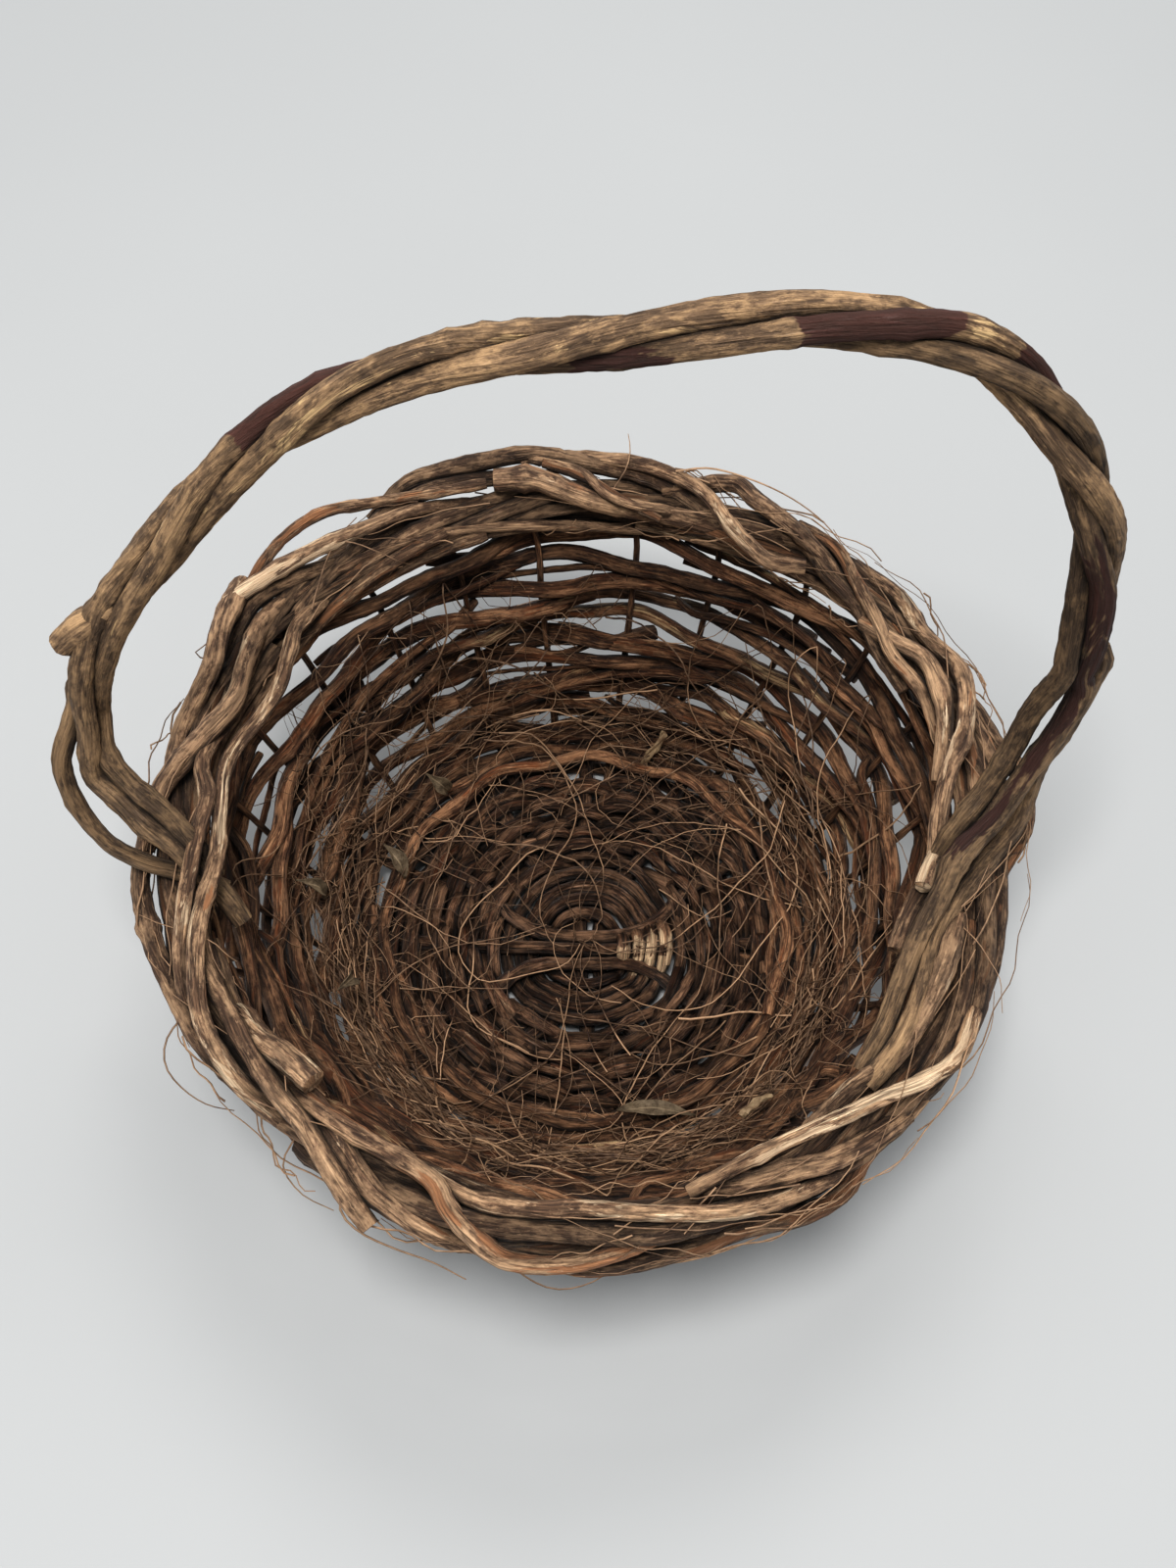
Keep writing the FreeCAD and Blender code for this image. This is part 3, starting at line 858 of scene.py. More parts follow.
def tie_rod(radius, seed):
    """Passes over the lower sticks and under the upper ones, but on the right it rides over all."""
    points = []
    for angle in arc(-0.25, FULL_TURN + 0.2, 60):
        weave = math.tanh(3 * math.cos(2 * angle))
        aside = math.remainder(angle, FULL_TURN)
        ride = math.exp(-(aside / RIDE_SPREAD) ** 2)
        height = -4.4 * MM * weave * (1 - ride) + RIDE_HEIGHT * ride
        points.append(base_place(angle, radius, BASE_MIDDLE + height))
    return vine(points, [(0, 3.5 * MM), (1, 2.9 * MM)], WORN_AND_LIT_HUMPS, seed, sides=12, step=3 * MM)


SECOND_TIES = (33.5 * MM, 41.0 * MM)       # radii of the rings drawn beside the two tie rounds


def make_tie_round(number):
    """A tie round, and beside it a second one that fills the base up to the first woven one."""
    node = "base_tie_round_%d" % (number + 1)
    radius = ring_size(node)[0] - BASE_REACH
    rods = [tie_rod(radius, node), tie_rod(SECOND_TIES[number], node + "_beside")]
    finish_piece(rods, "wound", "base", node, rough=0.8 * MM)


def plain_ring(radius, height, thick, seed, tone):
    chance = random.Random(seed)
    points = [polar(angle, radius + chance.uniform(-1, 1) * MM, height)
              for angle in arc(chance.uniform(*PHASES), FULL_TURN, 60)]
    return vine(points, thick, tone, seed, sides=12, step=4 * MM, wobble=0.3 * MM)


# Rods at the foot of the wall: (out, up) from the edge rod in mm.
FOOT_RODS = ((-6.5, -1.0), (-3.0, 4.0), (5.0, 1.0), (10.0, 2.5), (15.0, 5.5))


def close_foot(radius, height):
    """The rods that close the foot of the wall."""
    chance = random.Random("base_edge_rod")
    rods = []
    for k, (beside, up) in enumerate(FOOT_RODS):
        for _ in range(2):
            points = []
            for angle in arc(chance.uniform(*PHASES), 3.6, 30):
                ripple = 1.6 * MM * math.sin(12 * angle + 2 * k)
                points.append(polar(angle, radius + beside * MM + ripple, height + up * MM + ripple))
            rods.append(vine(points, chance.uniform(3.0, 4.3) * MM, wall_tone(chance), chance.random(),
                             sides=10, step=4 * MM))
    return rods


def make_edge_rings():
    """The two rods that clasp the stakes' feet; the upper one has the foot of the wall beside it."""
    for node in ("base_edge_rod", "foot_ring"):
        low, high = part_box(node)
        thick = (high[2] - low[2]) / 2
        radius = (high[0] - low[0]) / 2 - thick
        height = max((low[2] + high[2]) / 2, thick)
        rods = [plain_ring(radius, height, thick * 0.9, node, (0.3, 0.0, 0.3))]
        if node == "base_edge_rod":
            rods += close_foot(radius, height)
        finish_piece(rods, "clasp", "wall", node, rough=0.6 * MM)


# ---------------------------------------------------------------- rim

# Each vine of the rim, one by one: points (angle in degrees, out from the rim's centre circle in mm,
# up from it in mm), start and end thickness in mm, and tone (shade, peel, red).
RIM_ROUTES = {
    "tan_loop": ([(146, 12, -2), (142, 22, 3), (135, 28, 7), (128, 28, 8), (121, 17, 10), (113, 7, 12),
                  (105, 3, 12)], 7.0, 7.0, (0.62, 0.25, 0.55)),
    "pale_back_left": ([(147, 20, 12), (139, 12, 14), (131, 5, 15), (123, 3, 12), (116, 4, 8),
                        (108, 5, 0)], 9.0, 8.0,
                       [(0, (0.75, 0.7, 0.1)), (0.4, (0.7, 0.62, 0.2)), (0.7, (0.6, 0.3, 0.2))]),
    "grey_back_left": ([(158, 5, -6), (151, 9, 0), (144, 14, 4), (138, 10, 4), (129, 2, -2)],
                       10.5, 10.0, (0.30, 0.0, 0.0)),
    "left_outer": ([(143, 24, 6), (151, 13, 12), (156, 7, 10), (160, 7, 6), (166, 9, 0), (174, 9, -8)],
                   12.0, 11.0, (0.50, 0.35, 0.1)),
    "left_crossing": ([(136, 6, -6), (146, 2, 4), (154, -6, 10), (161, -12, 14), (167, -7, 15),
                       (173, 3, 12), (178, 10, 8), (184, 14, -2)], 10.5, 11.0, (0.62, 0.35, 0.2)),
    "mottled_left": ([(136, -6, -4), (144, -13, 6), (149, -20, 8), (156, -26, 8), (162, -25, 8),
                      (168, -21, 10), (174, -20, 14), (183, -22, 18), (190, -21, 20), (199, -9, 18),
                      (206, 0, 16), (213, 7, 14), (221, 8, 10), (228, 4, 0)], 7.5, 9.0, (0.66, 0.48, 0.3)),
    "light_left": ([(160, -8, 2), (172, -9, 14), (179, -16, 18), (185, -14, 20), (193, -8, 20),
                    (200, 0, 16), (205, 6, 9), (210, 9, 0)], 8.0, 8.0, (0.68, 0.45, 0.35)),
    "left_low_outer": ([(176, 14, -8), (187, 16, -2), (195, 14, 0), (203, 12, 2), (213, 11, 4),
                        (221, 6, -2)], 10.5, 10.0, (0.34, 0.1, 0.2)),
    "front_left_long": ([(196, -6, -4), (204, -5, 6), (211, -6, 12), (219, -4, 14), (226, -1, 14),
                         (231, 1, 12), (236, 7, 10), (241, 15, 8), (245, 21, 4)], 10.0, 10.5,
                        (0.52, 0.2, 0.15)),
    "front_left_stub": ([(212, -9, 0), (218, -10, 8), (223, -13, 14), (229, -14, 16)], 12.0, 13.5,
                        (0.72, 0.55, 0.1)),
    "knobby_front_left": ([(228, -9, 2), (236, -2, 8), (242, 7, 8), (246, 10, 6), (250, 12, 4),
                           (255, 11, -3), (261, 6, -10)], 12.0, 9.0, (0.60, 0.35, 0.35)),
    "orange_front": ([(226, -7, 2), (231, -7, 12), (238, -7, 14), (245, -7, 14), (250, -4, 12),
                      (253, 4, 10), (257, 11, 8), (261, 16, 4), (268, 15, 2), (275, 10, 4),
                      (282, 3, 0)], 9.5, 9.0, (0.66, 0.30, 0.6)),
    "dark_front": ([(238, 1, -4), (245, 4, 4), (252, 6, 6), (259, 6, 8), (266, 4, 8), (275, 5, 8),
                    (282, 6, 8), (291, 4, 0)], 10.0, 11.0, (0.20, 0.0, 0.0)),
    "pale_front": ([(247, -9, 0), (256, -3, 10), (263, -3, 14), (270, -4, 14), (279, 1, 14),
                    (288, 7, 12), (295, 9, 8), (303, 8, -2)], 8.5, 8.5, (0.74, 0.5, 0.2)),
    "peeled_front_right": ([(332, 6, -2), (324, 9, 8), (318, 4, 12), (313, -2, 14), (307, -6, 15),
                            (301, -9, 15), (296, -10, 14), (290, -9, 12), (284, -7, 6)], 8.0, 7.0,
                           [(0, (0.6, 0.3, 0.1)), (0.25, (0.85, 0.75, 0.0)), (0.7, (0.8, 0.7, 0.1)),
                            (1, (0.6, 0.4, 0.2))]),
    "mottled_front_right": ([(343, -13, 6), (338, -13, 12), (331, -12, 14), (323, -11, 12),
                             (317, -11, 8), (311, -15, 4), (303, -14, -6)], 10.5, 8.0,
                            (0.45, 0.3, 0.1)),
    "grey_front_right": ([(315, 7, -6), (308, 5, 4), (302, 3, 8), (297, -1, 8), (292, -3, 6),
                          (286, -7, 0)], 11.0, 11.5, (0.55, 0.2, 0.0)),
    "outer_front_right": ([(344, -8, -2), (336, -4, -4), (331, 0, -6), (324, 1, -4), (316, 5, -6),
                           (308, 8, -8), (303, 14, -10), (297, 14, -8), (290, 10, -6), (283, 11, -8),
                           (273, 14, -10), (262, 12, -12)], 9.5, 9.0, (0.36, 0.05, 0.6)),
    "grey_back": ([(122, 16, -4), (116, 23, 4), (111, 22, 8), (104, 20, 10), (98, 19, 10), (92, 14, 8),
                   (87, 12, 6), (81, 9, 6), (75, 3, 4), (68, -3, -2)], 10.5, 11.5, (0.36, 0.05, 0.0)),
    "brown_under_back": ([(128, 4, 0), (120, 12, 4), (112, 13, 6), (103, 12, 4), (94, 9, 2)], 9.0, 8.0,
                         (0.40, 0.1, 0.5)),
    "knobby_back": ([(104, 4, 12), (98, 0, 14), (92, -8, 12), (86, -11, 8), (78, -10, 4),
                     (68, -6, -2)], 12.5, 10.5, (0.58, 0.3, 0.35)),
    "curl_back": ([(99, 19, 10), (91, 4, 16), (87, -10, 16), (82, -16, 14), (76, -14, 10)], 6.0, 4.5,
                  (0.66, 0.3, 0.3)),
    "brown_back": ([(96, 10, 12), (90, -1, 14), (84, -12, 13), (77, -18, 10)], 6.0, 5.0,
                   (0.45, 0.0, 0.6)),
    "tan_back_right": ([(93, 20, 4), (83, 11, 12), (76, 5, 15), (71, -2, 16), (66, -14, 16),
                        (61, -21, 15), (56, -24, 14), (51, -16, 12)], 7.5, 8.5, (0.70, 0.4, 0.2)),
    "grey_tan_right": ([(78, 3, 4), (73, 8, 8), (68, 14, 8), (64, 7, 10), (58, 2, 10), (51, -2, 8),
                        (45, -7, 6), (38, -8, -2)], 9.0, 9.5, (0.55, 0.15, 0.1)),
    "dark_right": ([(67, -3, -6), (55, 1, 2), (48, -8, 6), (41, -10, 6), (34, -16, 4), (25, -16, -2)],
                   9.5, 9.0, (0.25, 0.0, 0.1)),
    "orange_right": ([(57, 10, 2), (53, 6, 8), (49, 4, 10), (43, -5, 12), (35, -13, 12),
                      (29, -18, 12), (22, -14, 8), (14, -14, 0)], 7.0, 7.5, (0.62, 0.15, 0.55)),
    "outer_right": ([(47, 10, -2), (39, 10, 2), (32, 4, 6), (28, 3, 10), (24, 5, 12), (19, 2, 14),
                     (12, -7, 15), (6, -18, 15), (358, -25, 12), (352, -26, 8), (345, -26, 0)],
                    9.0, 9.5, (0.64, 0.45, 0.25)),
    "mottled_right": ([(38, -16, 6), (31, -14, 12), (26, -8, 14), (20, -9, 14), (15, -12, 10),
                       (7, -20, 2)], 9.5, 9.0, (0.62, 0.42, 0.3)),
    "low_right": ([(26, 0, -8), (19, 8, -2), (13, 12, -2), (9, 17, -2), (5, 19, -2), (0, 17, -4),
                   (356, 10, -4), (349, -1, -4), (341, -6, -8)], 9.5, 9.0, (0.35, 0.0, 0.5)),
    "right_stub_high": ([(358, -18, -2), (354, -24, 6), (349, -29, 12), (345, -31, 14)], 8.5, 9.5,
                        (0.74, 0.6, 0.15)),
    "right_stub_low": ([(352, -20, -4), (346, -30, 2), (340, -34, 8), (334, -34, 6)], 11.0, 10.0,
                       (0.5, 0.3, 0.1)),
}

# Which routes stand for each vine of the rim in the model.
RIM_SHARES = {
    0: ["tan_loop", "pale_back_left", "grey_back_left", "left_outer", "left_crossing", "mottled_left"],
    1: ["light_left", "left_low_outer", "front_left_long", "front_left_stub", "knobby_front_left",
        "orange_front"],
    2: ["dark_front", "pale_front", "peeled_front_right", "mottled_front_right", "grey_front_right",
        "outer_front_right"],
    3: ["grey_back", "brown_under_back", "knobby_back", "curl_back", "brown_back", "tan_back_right",
        "grey_tan_right"],
    4: ["dark_right", "orange_right", "outer_right", "mottled_right", "low_right", "right_stub_high",
        "right_stub_low"],
}


def rim_place(degrees, out, up):
    return polar(math.radians(degrees), RIM_RADIUS + out * MM, RIM_HEIGHT + up * MM)


def unwound(route):
    """The route with its angles running on smoothly past 0 and 360 degrees."""
    steady = [route[0]]
    for degrees, out, up in route[1:]:
        while degrees - steady[-1][0] > 180:
            degrees -= 360
        while steady[-1][0] - degrees > 180:
            degrees += 360
        steady.append((degrees, out, up))
    return steady


def make_rim_core(number):
    """Hidden vine in the heart of the rim roll, which fills it between the outer ones."""
    chance = random.Random(40 + number)
    phase = FULL_TURN * number / len(RIM_NODES)
    points = []
    for angle in arc(chance.uniform(*PHASES), FULL_TURN - 0.1, 60):
        wind = phase + 4 * angle
        points.append(polar(angle, RIM_RADIUS + 6.5 * MM * math.cos(wind) + 1.5 * MM * math.sin(9 * angle),
                            RIM_HEIGHT - 6 * MM + 6.5 * MM * math.sin(wind)))
    tone = (chance.uniform(0.2, 0.45), 0.1, 0.4)
    return vine(points, [(0, 4.6 * MM), (1, 4.2 * MM)], tone, 40 + number, sides=12, step=4 * MM)


def make_rim_filler(number, index):
    """A shorter, thinner vine that winds round the roll among the others."""
    chance = random.Random(600 + 10 * number + index)
    start = chance.uniform(*PHASES)
    sweep = chance.uniform(0.9, 1.8)
    phase = chance.uniform(*PHASES)
    turn = chance.choice((-1, 1)) * chance.uniform(1.5, 3.0)
    reach = chance.uniform(8, 11) * MM
    points = []
    for angle in arc(start, sweep, 12):
        wind = phase + turn * (angle - start)
        points.append(polar(angle, RIM_RADIUS - 2 * MM + reach * math.cos(wind),
                            RIM_HEIGHT - 7 * MM + reach * 0.8 * math.sin(wind)))
    radius = chance.uniform(2.6, 3.8) * MM
    tone = (chance.uniform(0.2, 0.65), chance.choice([0.0, 0.1, 0.4]), chance.uniform(0.2, 0.7))
    return vine(points, taper(radius, 0.8), tone, chance.random(), sides=12, step=3.5 * MM)


RIM_FILLERS = 4              # thinner vines wound among those of each rim node
DRAWN_GIRTH = 0.88           # share of the thickness given above at which a rim vine is drawn


def make_rim():
    for number, node in enumerate(RIM_NODES):
        rods = [make_rim_core(number)] + [make_rim_filler(number, i) for i in range(RIM_FILLERS)]
        for word in RIM_SHARES[number]:
            route, start, end, tone = RIM_ROUTES[word]
            points = [rim_place(*p) for p in unwound(route)]
            girth = [(0, start / 2 * DRAWN_GIRTH * MM), (1, end / 2 * DRAWN_GIRTH * MM)]
            rods.append(vine(points, girth, tone, word, sides=16, step=3 * MM, wobble=0.7 * MM, lumps=0.09))
        finish_piece(rods, "wound", "rim", node, rough=0.8 * MM)


# ---------------------------------------------------------------- handle

HANDLE_LEAN = math.radians(15)
# Middle line of the handle: (across, up the lean) in mm, from the left foot to the right.
HANDLE_LINE = [(-212, 42), (-209, 65), (-204, 88), (-192, 113), (-178, 133), (-164, 151), (-141, 182),
               (-112, 208), (-84, 226), (-50, 238), (-16, 244), (18, 249), (51, 252), (85, 253),
               (119, 250), (141, 241), (161, 225), (179, 199), (192, 173), (200, 138), (200, 104),
               (196, 76)]
# Shares of the middle line at which the next vine crosses over the front.
CROSSINGS = [-0.11, 0.055, 0.235, 0.355, 0.50, 0.665, 0.755, 0.83, 0.90, 1.01, 1.15]
HANDLE_SPREAD = 5.6 * MM     # from the middle line to each vine's own
TWIST_FRONT = Vector((0, -0.47, 0.88))     # the side on which the crossings are counted
HANDLE_CLEAR = 3             # mm from the rim's middle height up to the handle line's zero


def handle_place(across, up):
    height = RIM_HEIGHT / MM + HANDLE_CLEAR + up * math.cos(HANDLE_LEAN)
    return Vector((across, up * math.sin(HANDLE_LEAN), height)) * MM


def winding(share):
    """Turns wound at a share of the middle line, a third of a turn from crossing to crossing."""
    i = 0
    while i < len(CROSSINGS) - 2 and share > CROSSINGS[i + 1]:
        i += 1
    part = (share - CROSSINGS[i]) / (CROSSINGS[i + 1] - CROSSINGS[i])
    return (i + part) / 3


def twisted_points(number):
    """Points of one handle vine where the three are wound together."""
    line = smooth_line([handle_place(*p) for p in HANDLE_LINE], 8 * MM)
    points = []
    for i, middle in enumerate(line):
        ahead = line[min(i + 1, len(line) - 1)]
        behind = line[max(i - 1, 0)]
        tangent = (ahead - behind).normalized()
        front = (TWIST_FRONT - tangent * TWIST_FRONT.dot(tangent)).normalized()
        outer = front.cross(tangent)
        turn = FULL_TURN * (winding(i / (len(line) - 1)) - number / 3)
        points.append(middle + (front * math.cos(turn) + outer * math.sin(turn)) * HANDLE_SPREAD)
    return points


# Feet of the handle's vines: x y z in mm along the vine, from left to right, and radius.
LEFT_FEET = [
    ([(-150, -46, 140), (-159, -36, 150), (-175, -23, 163), (-190, -14, 172), (-203, -4, 182),
      (-211, 3, 190)], 5.2),
    ([(-163, -29, 150), (-170, -22, 164), (-182, -11, 176), (-196, -1, 187), (-204, 8, 197)], 4.6),
    ([(-158, -33, 146), (-175, -29, 154), (-191, -26, 158), (-206, -19, 162), (-216, -10, 170),
      (-222, -1, 180), (-223, 8, 194)], 3.7),
]
RIGHT_FEET = [
    ([(188, 19, 215), (182, 11, 195), (172, -2, 178), (163, -12, 168), (152, -26, 152)], 4.9),
    ([(206, 20, 225), (198, 11, 205), (188, 1, 190), (176, -13, 177), (161, -27, 168), (152, -44, 163),
      (141, -64, 160), (132, -84, 158), (125, -101, 155), (116, -117, 148)], 4.6),
    ([(211, 30, 240), (203, 16, 205), (197, 11, 185), (195, 5, 168), (189, -9, 160), (171, -30, 156),
      (152, -56, 158), (139, -90, 160), (130, -108, 158), (117, -125, 152)], 4.2),
]
# A cut stub that stands out at the left of the arch.
HANDLE_STUB = ((-184, 33, 272), (-194, 31, 266), (-203, 29, 259), (-211, 27, 252))
# Tones along the handle; the third vine has the dark red patches of thin inner bark.
DULL = (0.34, 0.1, 0.05)
TAN = (0.59, 0.42, 0.1)
SMOKY = (0.20, 0.0, 0.2)
HANDLE_TONES = [
    [(0, (0.24, 0.0, 0.1)), (0.12, DULL), (0.22, TAN), (0.5, TAN), (0.62, DULL), (0.74, SMOKY),
     (0.88, SMOKY), (0.94, (0.24, 0.0, 0.1)), (1, (0.3, 0.0, 0.2))],
    [(0, (0.16, 0.0, 0.1)), (0.15, DULL), (0.3, (0.58, 0.3, 0.1)), (0.55, TAN), (0.66, DULL),
     (0.76, SMOKY), (0.88, SMOKY), (0.94, DULL), (1, (0.5, 0.2, 0.3))],
    [(0, (0.14, 0.0, 0.1)), (0.12, DULL), (0.2, TAN), (0.27, TAN), (0.29, (0.5, 0.2, 0.85)),
     (0.35, (0.5, 0.1, 0.85)), (0.365, TAN), (0.42, (0.55, 0.3, 0.3)), (0.43, (0.3, 0.1, 0.9)),
     (0.46, (0.3, 0.1, 0.8)), (0.475, TAN), (0.50, TAN), (0.515, (0.4, 0.1, 0.9)),
     (0.565, (0.4, 0.1, 0.9)), (0.58, TAN), (0.595, TAN), (0.605, (0.4, 0.1, 0.85)),
     (0.64, (0.4, 0.1, 0.8)), (0.67, DULL), (0.70, (0.24, 0.1, 0.7)), (0.88, (0.22, 0.0, 0.6)),
     (0.94, DULL), (1, (0.40, 0.1, 0.4))],
]


def nearest_feet(ends, feet, foot_end):
    """Which foot each vine runs into, so that the joints are as short as they can be."""
    def total(order):
        return sum((ends[i] - Vector(feet[k][0][foot_end]) * MM).length for i, k in enumerate(order))
    return min(itertools.permutations(range(3)), key=total)


def make_handle():
    middles = [twisted_points(number)[3:-2] for number in range(3)]
    left_order = nearest_feet([m[0] for m in middles], LEFT_FEET, -1)
    right_order = nearest_feet([m[-1] for m in middles], RIGHT_FEET, 0)
    for number in range(3):
        left, left_radius = LEFT_FEET[left_order[number]]
        right, right_radius = RIGHT_FEET[right_order[number]]
        points = in_metres(left) + middles[number] + in_metres(right)
        girth = [(0, left_radius * MM), (0.08, left_radius * MM), (0.2, 5.1 * MM), (0.5, 5.2 * MM),
                 (0.85, 5.0 * MM), (0.92, right_radius * MM), (1, right_radius * 0.9 * MM)]
        rods = [vine(points, girth, HANDLE_TONES[number], "handle%d" % number, sides=18, step=3 * MM,
                     wobble=0.6 * MM, lumps=0.06)]
        if number == 0:
            rods.append(vine(in_metres(HANDLE_STUB), [(0, 5.5 * MM), (0.6, 6.6 * MM), (1, 6.9 * MM)],
                             (0.66, 0.4, 0.2), "stub", sides=16, step=2.5 * MM))
        node = "handle_vine_%d" % (number + 1)
        finish_piece(rods, "twisted", "handle", node, rough=0.7 * MM)


# ---------------------------------------------------------------- rootlets and leaves

LINING_EDGE = 98 * MM        # the lining is flat up to here and climbs the wall beyond
LINING_FOOT = 108 * MM       # length along the lining at the wall's foot
WALL_LENGTH = 122 * MM
BASE_TOP = BASE_MIDDLE + 10 * MM


def lining_place(angle, along, lift):
    """Point over the basket's inner surface, at a length along it from the middle of the base."""
    flat = polar(angle, min(along, LINING_FOOT + 4 * MM), BASE_TOP + lift)
    if along <= LINING_EDGE:
        return flat
    up = wall_place(angle, (along - LINING_FOOT) / WALL_LENGTH, -(8 * MM + lift))
    share = min((along - LINING_EDGE) / (16 * MM), 1.0)
    return flat.lerp(up, share * share * (3 - 2 * share))


def rootlet_points(chance, angle, along, length, curl, lift):
    """A wiry strand that wanders over the lining."""
    step = 6 * MM
    count = max(int(length / step), 4)
    heading = chance.gauss(0, 0.7) + chance.choice((0, math.pi))
    bend = chance.gauss(0, curl * 0.35)
    rise = chance.uniform(*PHASES)
    points = []
    for i in range(count + 1):
        swell = lift * (0.5 + 0.5 * math.sin(rise + 1.6 * i * step / (25 * MM)))
        points.append(lining_place(angle, along, swell + chance.uniform(-0.4, 0.4) * MM))
        angle += step * math.cos(heading) / max(along, 25 * MM)
        along = max(along + step * math.sin(heading), 6 * MM)
        if along > 225 * MM:
            heading = -heading
            along = 224 * MM
        heading += bend + chance.gauss(0, curl)
        if chance.random() < 0.08:
            bend = chance.gauss(0, curl * 0.5)
    return points


STRAND_SIDES = 3


def strands_piece(name, strands, material):
    """Many strands as one piece. Each strand is (points, radius, shade)."""
    curve = swept_curve(name, closed_outline([1] * STRAND_SIDES))
    shades = []
    for points, radius, shade in strands:
        last = len(points) - 1
        radii = [radius * (1 - 0.55 * (i / last)) for i in range(last + 1)]
        add_spline(curve, points, radii, [0.0] * (last + 1))
        shades += (shade, 0.0, 0.0, 1.0) * (STRAND_SIDES * (last + 1))
    piece = to_mesh(curve, name)
    piece.data.materials.clear()
    piece.data.materials.append(material)
    for face in piece.data.polygons:
        face.use_smooth = True
    add_tones(piece.data, shades)
    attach(piece, "root")


# Where rootlets gather: name, angle range in degrees, range along the lining in mm, counts of long,
# curly and fine strands, and shade range.
ROOTLET_BEDS = [
    ("left", (150, 232), (95, 175), (30, 100, 150), (0.0, 0.9)),
    ("front", (235, 315), (100, 195), (50, 70, 70), (0.0, 1.0)),
    ("right", (-45, 50), (90, 175), (70, 50, 40), (0.1, 1.0)),
    ("back", (50, 150), (90, 160), (24, 40, 44), (0.0, 0.8)),
    ("upper_back", (85, 170), (160, 205), (8, 40, 46), (0.0, 0.5)),
    ("base", (0, 360), (40, 105), (16, 20, 18), (0.0, 1.0)),
]


# Long, curly and fine strands: length in mm, curl, radius in mm, highest lift in mm.
ROOTLET_KINDS = [((80, 200), 0.13, (0.32, 0.70), 12), ((40, 110), 0.34, (0.2, 0.45), 12),
                 ((20, 60), 0.60, (0.14, 0.26), 9)]


def make_rootlets():
    share = 1.0
    for name, sector, reach, counts, shades in ROOTLET_BEDS:
        chance = random.Random("roots_" + name)
        strands = []
        for count, (lengths, curl, radii, lift) in zip(counts, ROOTLET_KINDS):
            for _ in range(int(count * share)):
                middle = chance.triangular(reach[0], reach[1], reach[0] * 0.6 + reach[1] * 0.4)
                angle = math.radians(chance.uniform(*sector))
                points = rootlet_points(chance, angle, middle * MM, chance.uniform(*lengths) * MM, curl,
                                        chance.uniform(2, lift) * MM)
                shade = shades[0] + (shades[1] - shades[0]) * chance.random() ** 3
                strands.append((points, chance.uniform(*radii) * MM, shade))
        strands_piece("rootlets_" + name, strands, MATERIALS["root"])


# Loose strands that stick out round the rim: points x y z in mm, and radius.
STRAYS = [
    ([(-170, -80, 128), (-182, -92, 122), (-183, -104, 118), (-175, -114, 116), (-163, -122, 118),
      (-150, -126, 122)], 0.6),
    ([(-172, 84, 148), (-184, 86, 150), (-178, 93, 150), (-172, 102, 150)], 0.5),
    ([(14, 176, 160), (20, 184, 165), (22, 194, 167), (21, 203, 168)], 0.5),
    ([(44, 180, 168), (63, 179, 171), (91, 166, 172), (112, 150, 170), (126, 133, 164)], 0.6),
    ([(166, -50, 140), (170, -62, 124), (171, -80, 118), (162, -102, 116), (149, -119, 120),
      (130, -130, 128)], 0.7),
    ([(-98, -158, 138), (-101, -170, 130), (-93, -179, 128), (-78, -186, 128), (-62, -192, 130),
      (-48, -199, 130)], 0.7),
    ([(-38, -180, 138), (-30, -193, 130), (-14, -202, 128), (2, -200, 128), (16, -192, 132)], 0.6),
    ([(0, -190, 140), (30, -194, 136), (56, -189, 136), (76, -181, 138), (92, -173, 142)], 0.6),
    ([(190, 26, 160), (197, 16, 152), (198, -3, 148), (193, -17, 146), (180, -32, 148)], 0.8),
    ([(-120, -142, 138), (-126, -152, 130), (-118, -163, 126), (-104, -170, 126)], 0.5),
]


def make_strays():
    chance = random.Random("strays")
    strands = []
    for points, radius in STRAYS:
        line = smooth_line(in_metres(points), 5 * MM)
        strands.append((line, radius * MM, chance.uniform(0.1, 0.5)))
    count = 150
    for _ in range(count):
        angle = chance.uniform(0, FULL_TURN)
        around = chance.uniform(*PHASES)
        reach = chance.uniform(15, 19) * MM
        sweep = chance.uniform(0.15, 0.5) * chance.choice((-1, 1))
        turn = chance.uniform(-2.5, 2.5)
        ripple = chance.uniform(0.5, 2.0) * MM
        line = []
        for i in range(14):
            here = angle + sweep * i / 13
            wind = around + turn * i / 13
            far = reach + ripple * math.sin(1.3 * i + around)
            line.append(polar(here, RIM_RADIUS + far * math.cos(wind),
                              RIM_HEIGHT + far * 0.9 * math.sin(wind)))
        strands.append((line, chance.uniform(0.25, 0.6) * MM, chance.uniform(0.1, 0.8)))
    strands_piece("rootlets_rim", strands, MATERIALS["root"])


# Dry leaves and chips, one by one: angle in degrees and length along the lining in mm, heading on the
# lining in degrees, length and width in mm, curl.
LEAVES = [
    (289, 104, 25, 38, 8, 0.6), (135, 117, 70, 20, 8, 0.9), (160, 105, 120, 21, 8, 0.9),
    (202, 152, 60, 22, 7, 1.0), (182, 172, 90, 24, 7, 1.0),
]
CHIPS = [(303, 190, -20, 17, 6, 0.3), (70.5, 107, 110, 30, 3.0, 0.2)]


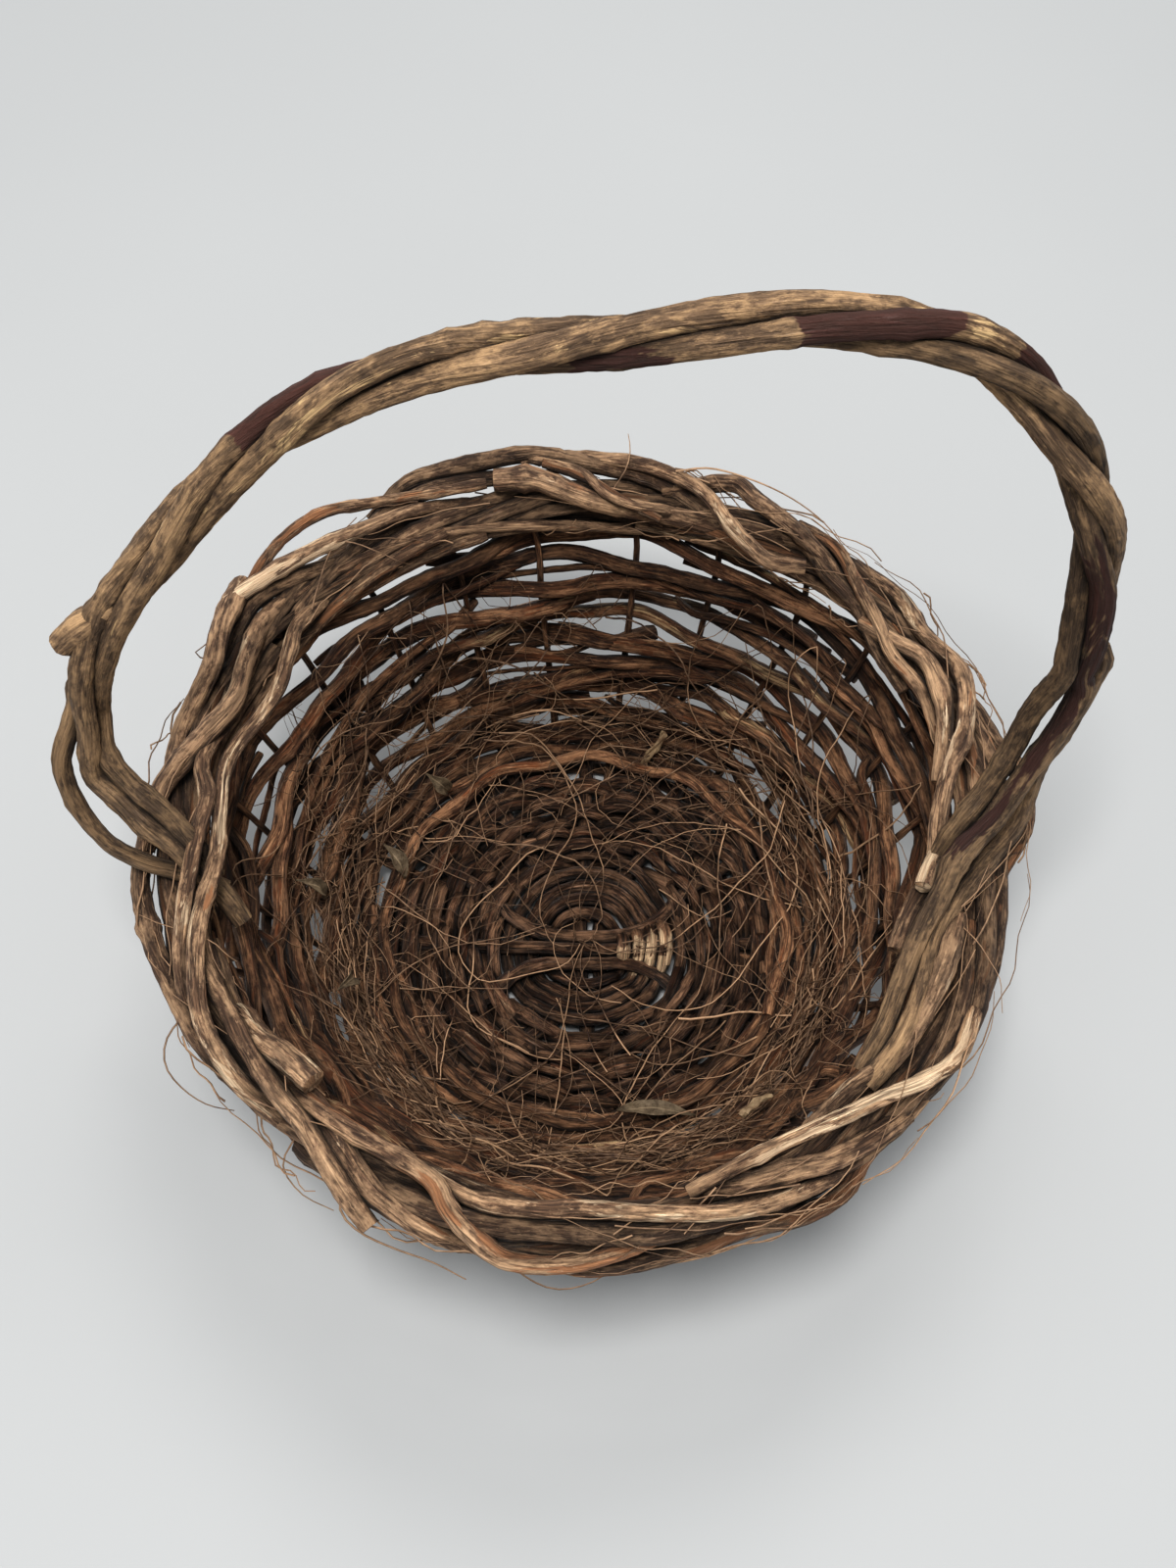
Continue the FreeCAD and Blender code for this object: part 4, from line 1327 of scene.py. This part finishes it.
def make_leaf(spot, seed, chip):
    """A dry leaf or a bark chip: a small sheet cut to outline, curled, lying on the lining."""
    degrees, along, heading, length, width, curl = spot
    chance = random.Random(seed)
    bpy.ops.mesh.primitive_grid_add(x_subdivisions=16, y_subdivisions=8, size=1)
    leaf = bpy.context.view_layer.objects.active
    middle = lining_place(math.radians(degrees), along * MM, 12 * MM)
    ahead = lining_place(math.radians(degrees), (along + 4) * MM, 12 * MM)
    out = (ahead - middle).normalized()
    beside = polar(math.radians(degrees) + math.pi / 2, 1, 0)
    normal = beside.cross(out) * -1
    if normal.z < 0:
        normal = -normal
    turn = math.radians(heading)
    forward = beside * math.cos(turn) + out * math.sin(turn)
    sideways = normal.cross(forward)
    phase = chance.uniform(*PHASES)
    for vertex in leaf.data.vertices:
        u = vertex.co.x + 0.5
        v = vertex.co.y * 2
        shape = 1.0 if chip else math.sin(math.pi * min(max(u, 0.02), 0.98) ** 0.8)
        reach = v * width / 2 * shape * (1 + 0.12 * math.sin(9 * u + phase))
        lift = curl * width * 0.35 * (v * v * shape - 0.4) + 0.18 * curl * length * math.sin(math.pi * u)
        lift += 0.6 * math.sin(11 * u + 3 * v + phase)
        vertex.co = (middle + forward * ((u - 0.5) * length * MM) + sideways * (reach * MM)
                     + normal * (lift * MM))
    thick = leaf.modifiers.new("thick", "SOLIDIFY")
    thick.thickness = (1.4 if chip else 0.35) * MM
    bpy.ops.object.modifier_apply(modifier=thick.name)
    for face in leaf.data.polygons:
        face.use_smooth = not chip
    return leaf


def make_leaves():
    for name, spots, material in (("dry_leaves", LEAVES, "leaf"), ("bark_chips", CHIPS, "chip")):
        leaves = [make_leaf(spot, name + str(i), material == "chip") for i, spot in enumerate(spots)]
        piece = joined(leaves, name)
        bpy.ops.object.transform_apply(location=True, rotation=True, scale=True)
        piece.data.materials.clear()
        piece.data.materials.append(MATERIALS[material])
        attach(piece, "root")


# ---------------------------------------------------------------- scene

def make_floor():
    bpy.ops.mesh.primitive_plane_add(size=40.0, location=(0, 0, -0.0005))
    floor = bpy.context.view_layer.objects.active
    floor.name = "floor"
    floor.data.materials.append(floor_material())


def area_light(name, place, size, power, target=(0, 0, 0.1)):
    light = bpy.data.lights.new(name, "AREA")
    light.shape = "DISK"
    light.size = size
    light.energy = power
    lamp = bpy.data.objects.new(name, light)
    lamp.location = place
    lamp.rotation_euler = (Vector(target) - Vector(place)).to_track_quat("-Z", "Y").to_euler()
    bpy.context.scene.collection.objects.link(lamp)


def make_lights():
    """A soft lamp overhead in front, a weaker one behind and a pale sky all round."""
    world = bpy.data.worlds.new("studio")
    bpy.context.scene.world = world
    world.use_nodes = True
    sky = world.node_tree.nodes["Background"]
    sky.inputs["Color"].default_value = colour(0.93, 0.97, 1.0)
    sky.inputs["Strength"].default_value = 0.50
    area_light("key", (-0.15, -0.42, 2.25), 0.6, 34)
    area_light("back", (0.15, 1.0, 2.0), 0.9, 12)
    view = bpy.context.scene.view_settings
    view.view_transform = "Standard"
    view.look = "Medium High Contrast"


CAMERA_HEIGHT = 62           # degrees above the horizon


def make_camera():
    """Looks down at the basket from the front."""
    camera = bpy.data.cameras.new("camera")
    camera.lens = 40.5
    camera.sensor_width = 36.0
    holder = bpy.data.objects.new("camera", camera)
    holder.location = (0.0013, -0.357, 0.854)
    holder.rotation_euler = (math.radians(90 - CAMERA_HEIGHT), 0, 0)
    bpy.context.scene.collection.objects.link(holder)
    bpy.context.scene.camera = holder


MATERIALS = {
    "cut": cut_wood_material(),
    "wall": bark_material("wall_bark", (0.014, 0.006, 0.003), (0.195, 0.084, 0.040), (0.46, 0.250, 0.130),
                          (0.22, 0.080, 0.032), (0.62, 0.43, 0.23), 0.0015, contrast=0.9),
    "base": bark_material("base_bark", (0.005, 0.003, 0.002), (0.155, 0.073, 0.041), (0.46, 0.262, 0.150),
                          (0.17, 0.066, 0.032), (0.72, 0.52, 0.32), 0.0014, contrast=0.95,
                          roughness=(0.62, 0.34)),
    "rim": bark_material("rim_bark", (0.018, 0.010, 0.007), (0.215, 0.120, 0.068), (0.54, 0.345, 0.200),
                         (0.31, 0.145, 0.068), (0.62, 0.47, 0.31), 0.0014, 0.9, contrast=0.75),
    "handle": bark_material("handle_bark", (0.024, 0.014, 0.009), (0.235, 0.146, 0.082),
                            (0.43, 0.270, 0.140), (0.075, 0.027, 0.019), (0.64, 0.44, 0.22), 0.0011,
                            0.9, contrast=0.62),
    "root": fibre_material("rootlet", (0.030, 0.012, 0.007), (0.66, 0.41, 0.24)),
    "leaf": leaf_material("dry_leaf", (0.055, 0.036, 0.020), (0.20, 0.145, 0.088), 0.6),
    "chip": leaf_material("bark_chip", (0.15, 0.09, 0.048), (0.38, 0.27, 0.155), 0.0),
}

for number in range(len(WALL_ROUNDS)):
    make_wall_round(number)
for number in range(len(STAKES)):
    make_stake(number)
make_cross()
for number in range(len(BASE_ROUNDS)):
    make_base_round(number)
for number in range(len(SECOND_TIES)):
    make_tie_round(number)
make_edge_rings()
make_rim()
make_handle()
make_rootlets()
make_strays()
make_leaves()
make_floor()
make_lights()
make_camera()
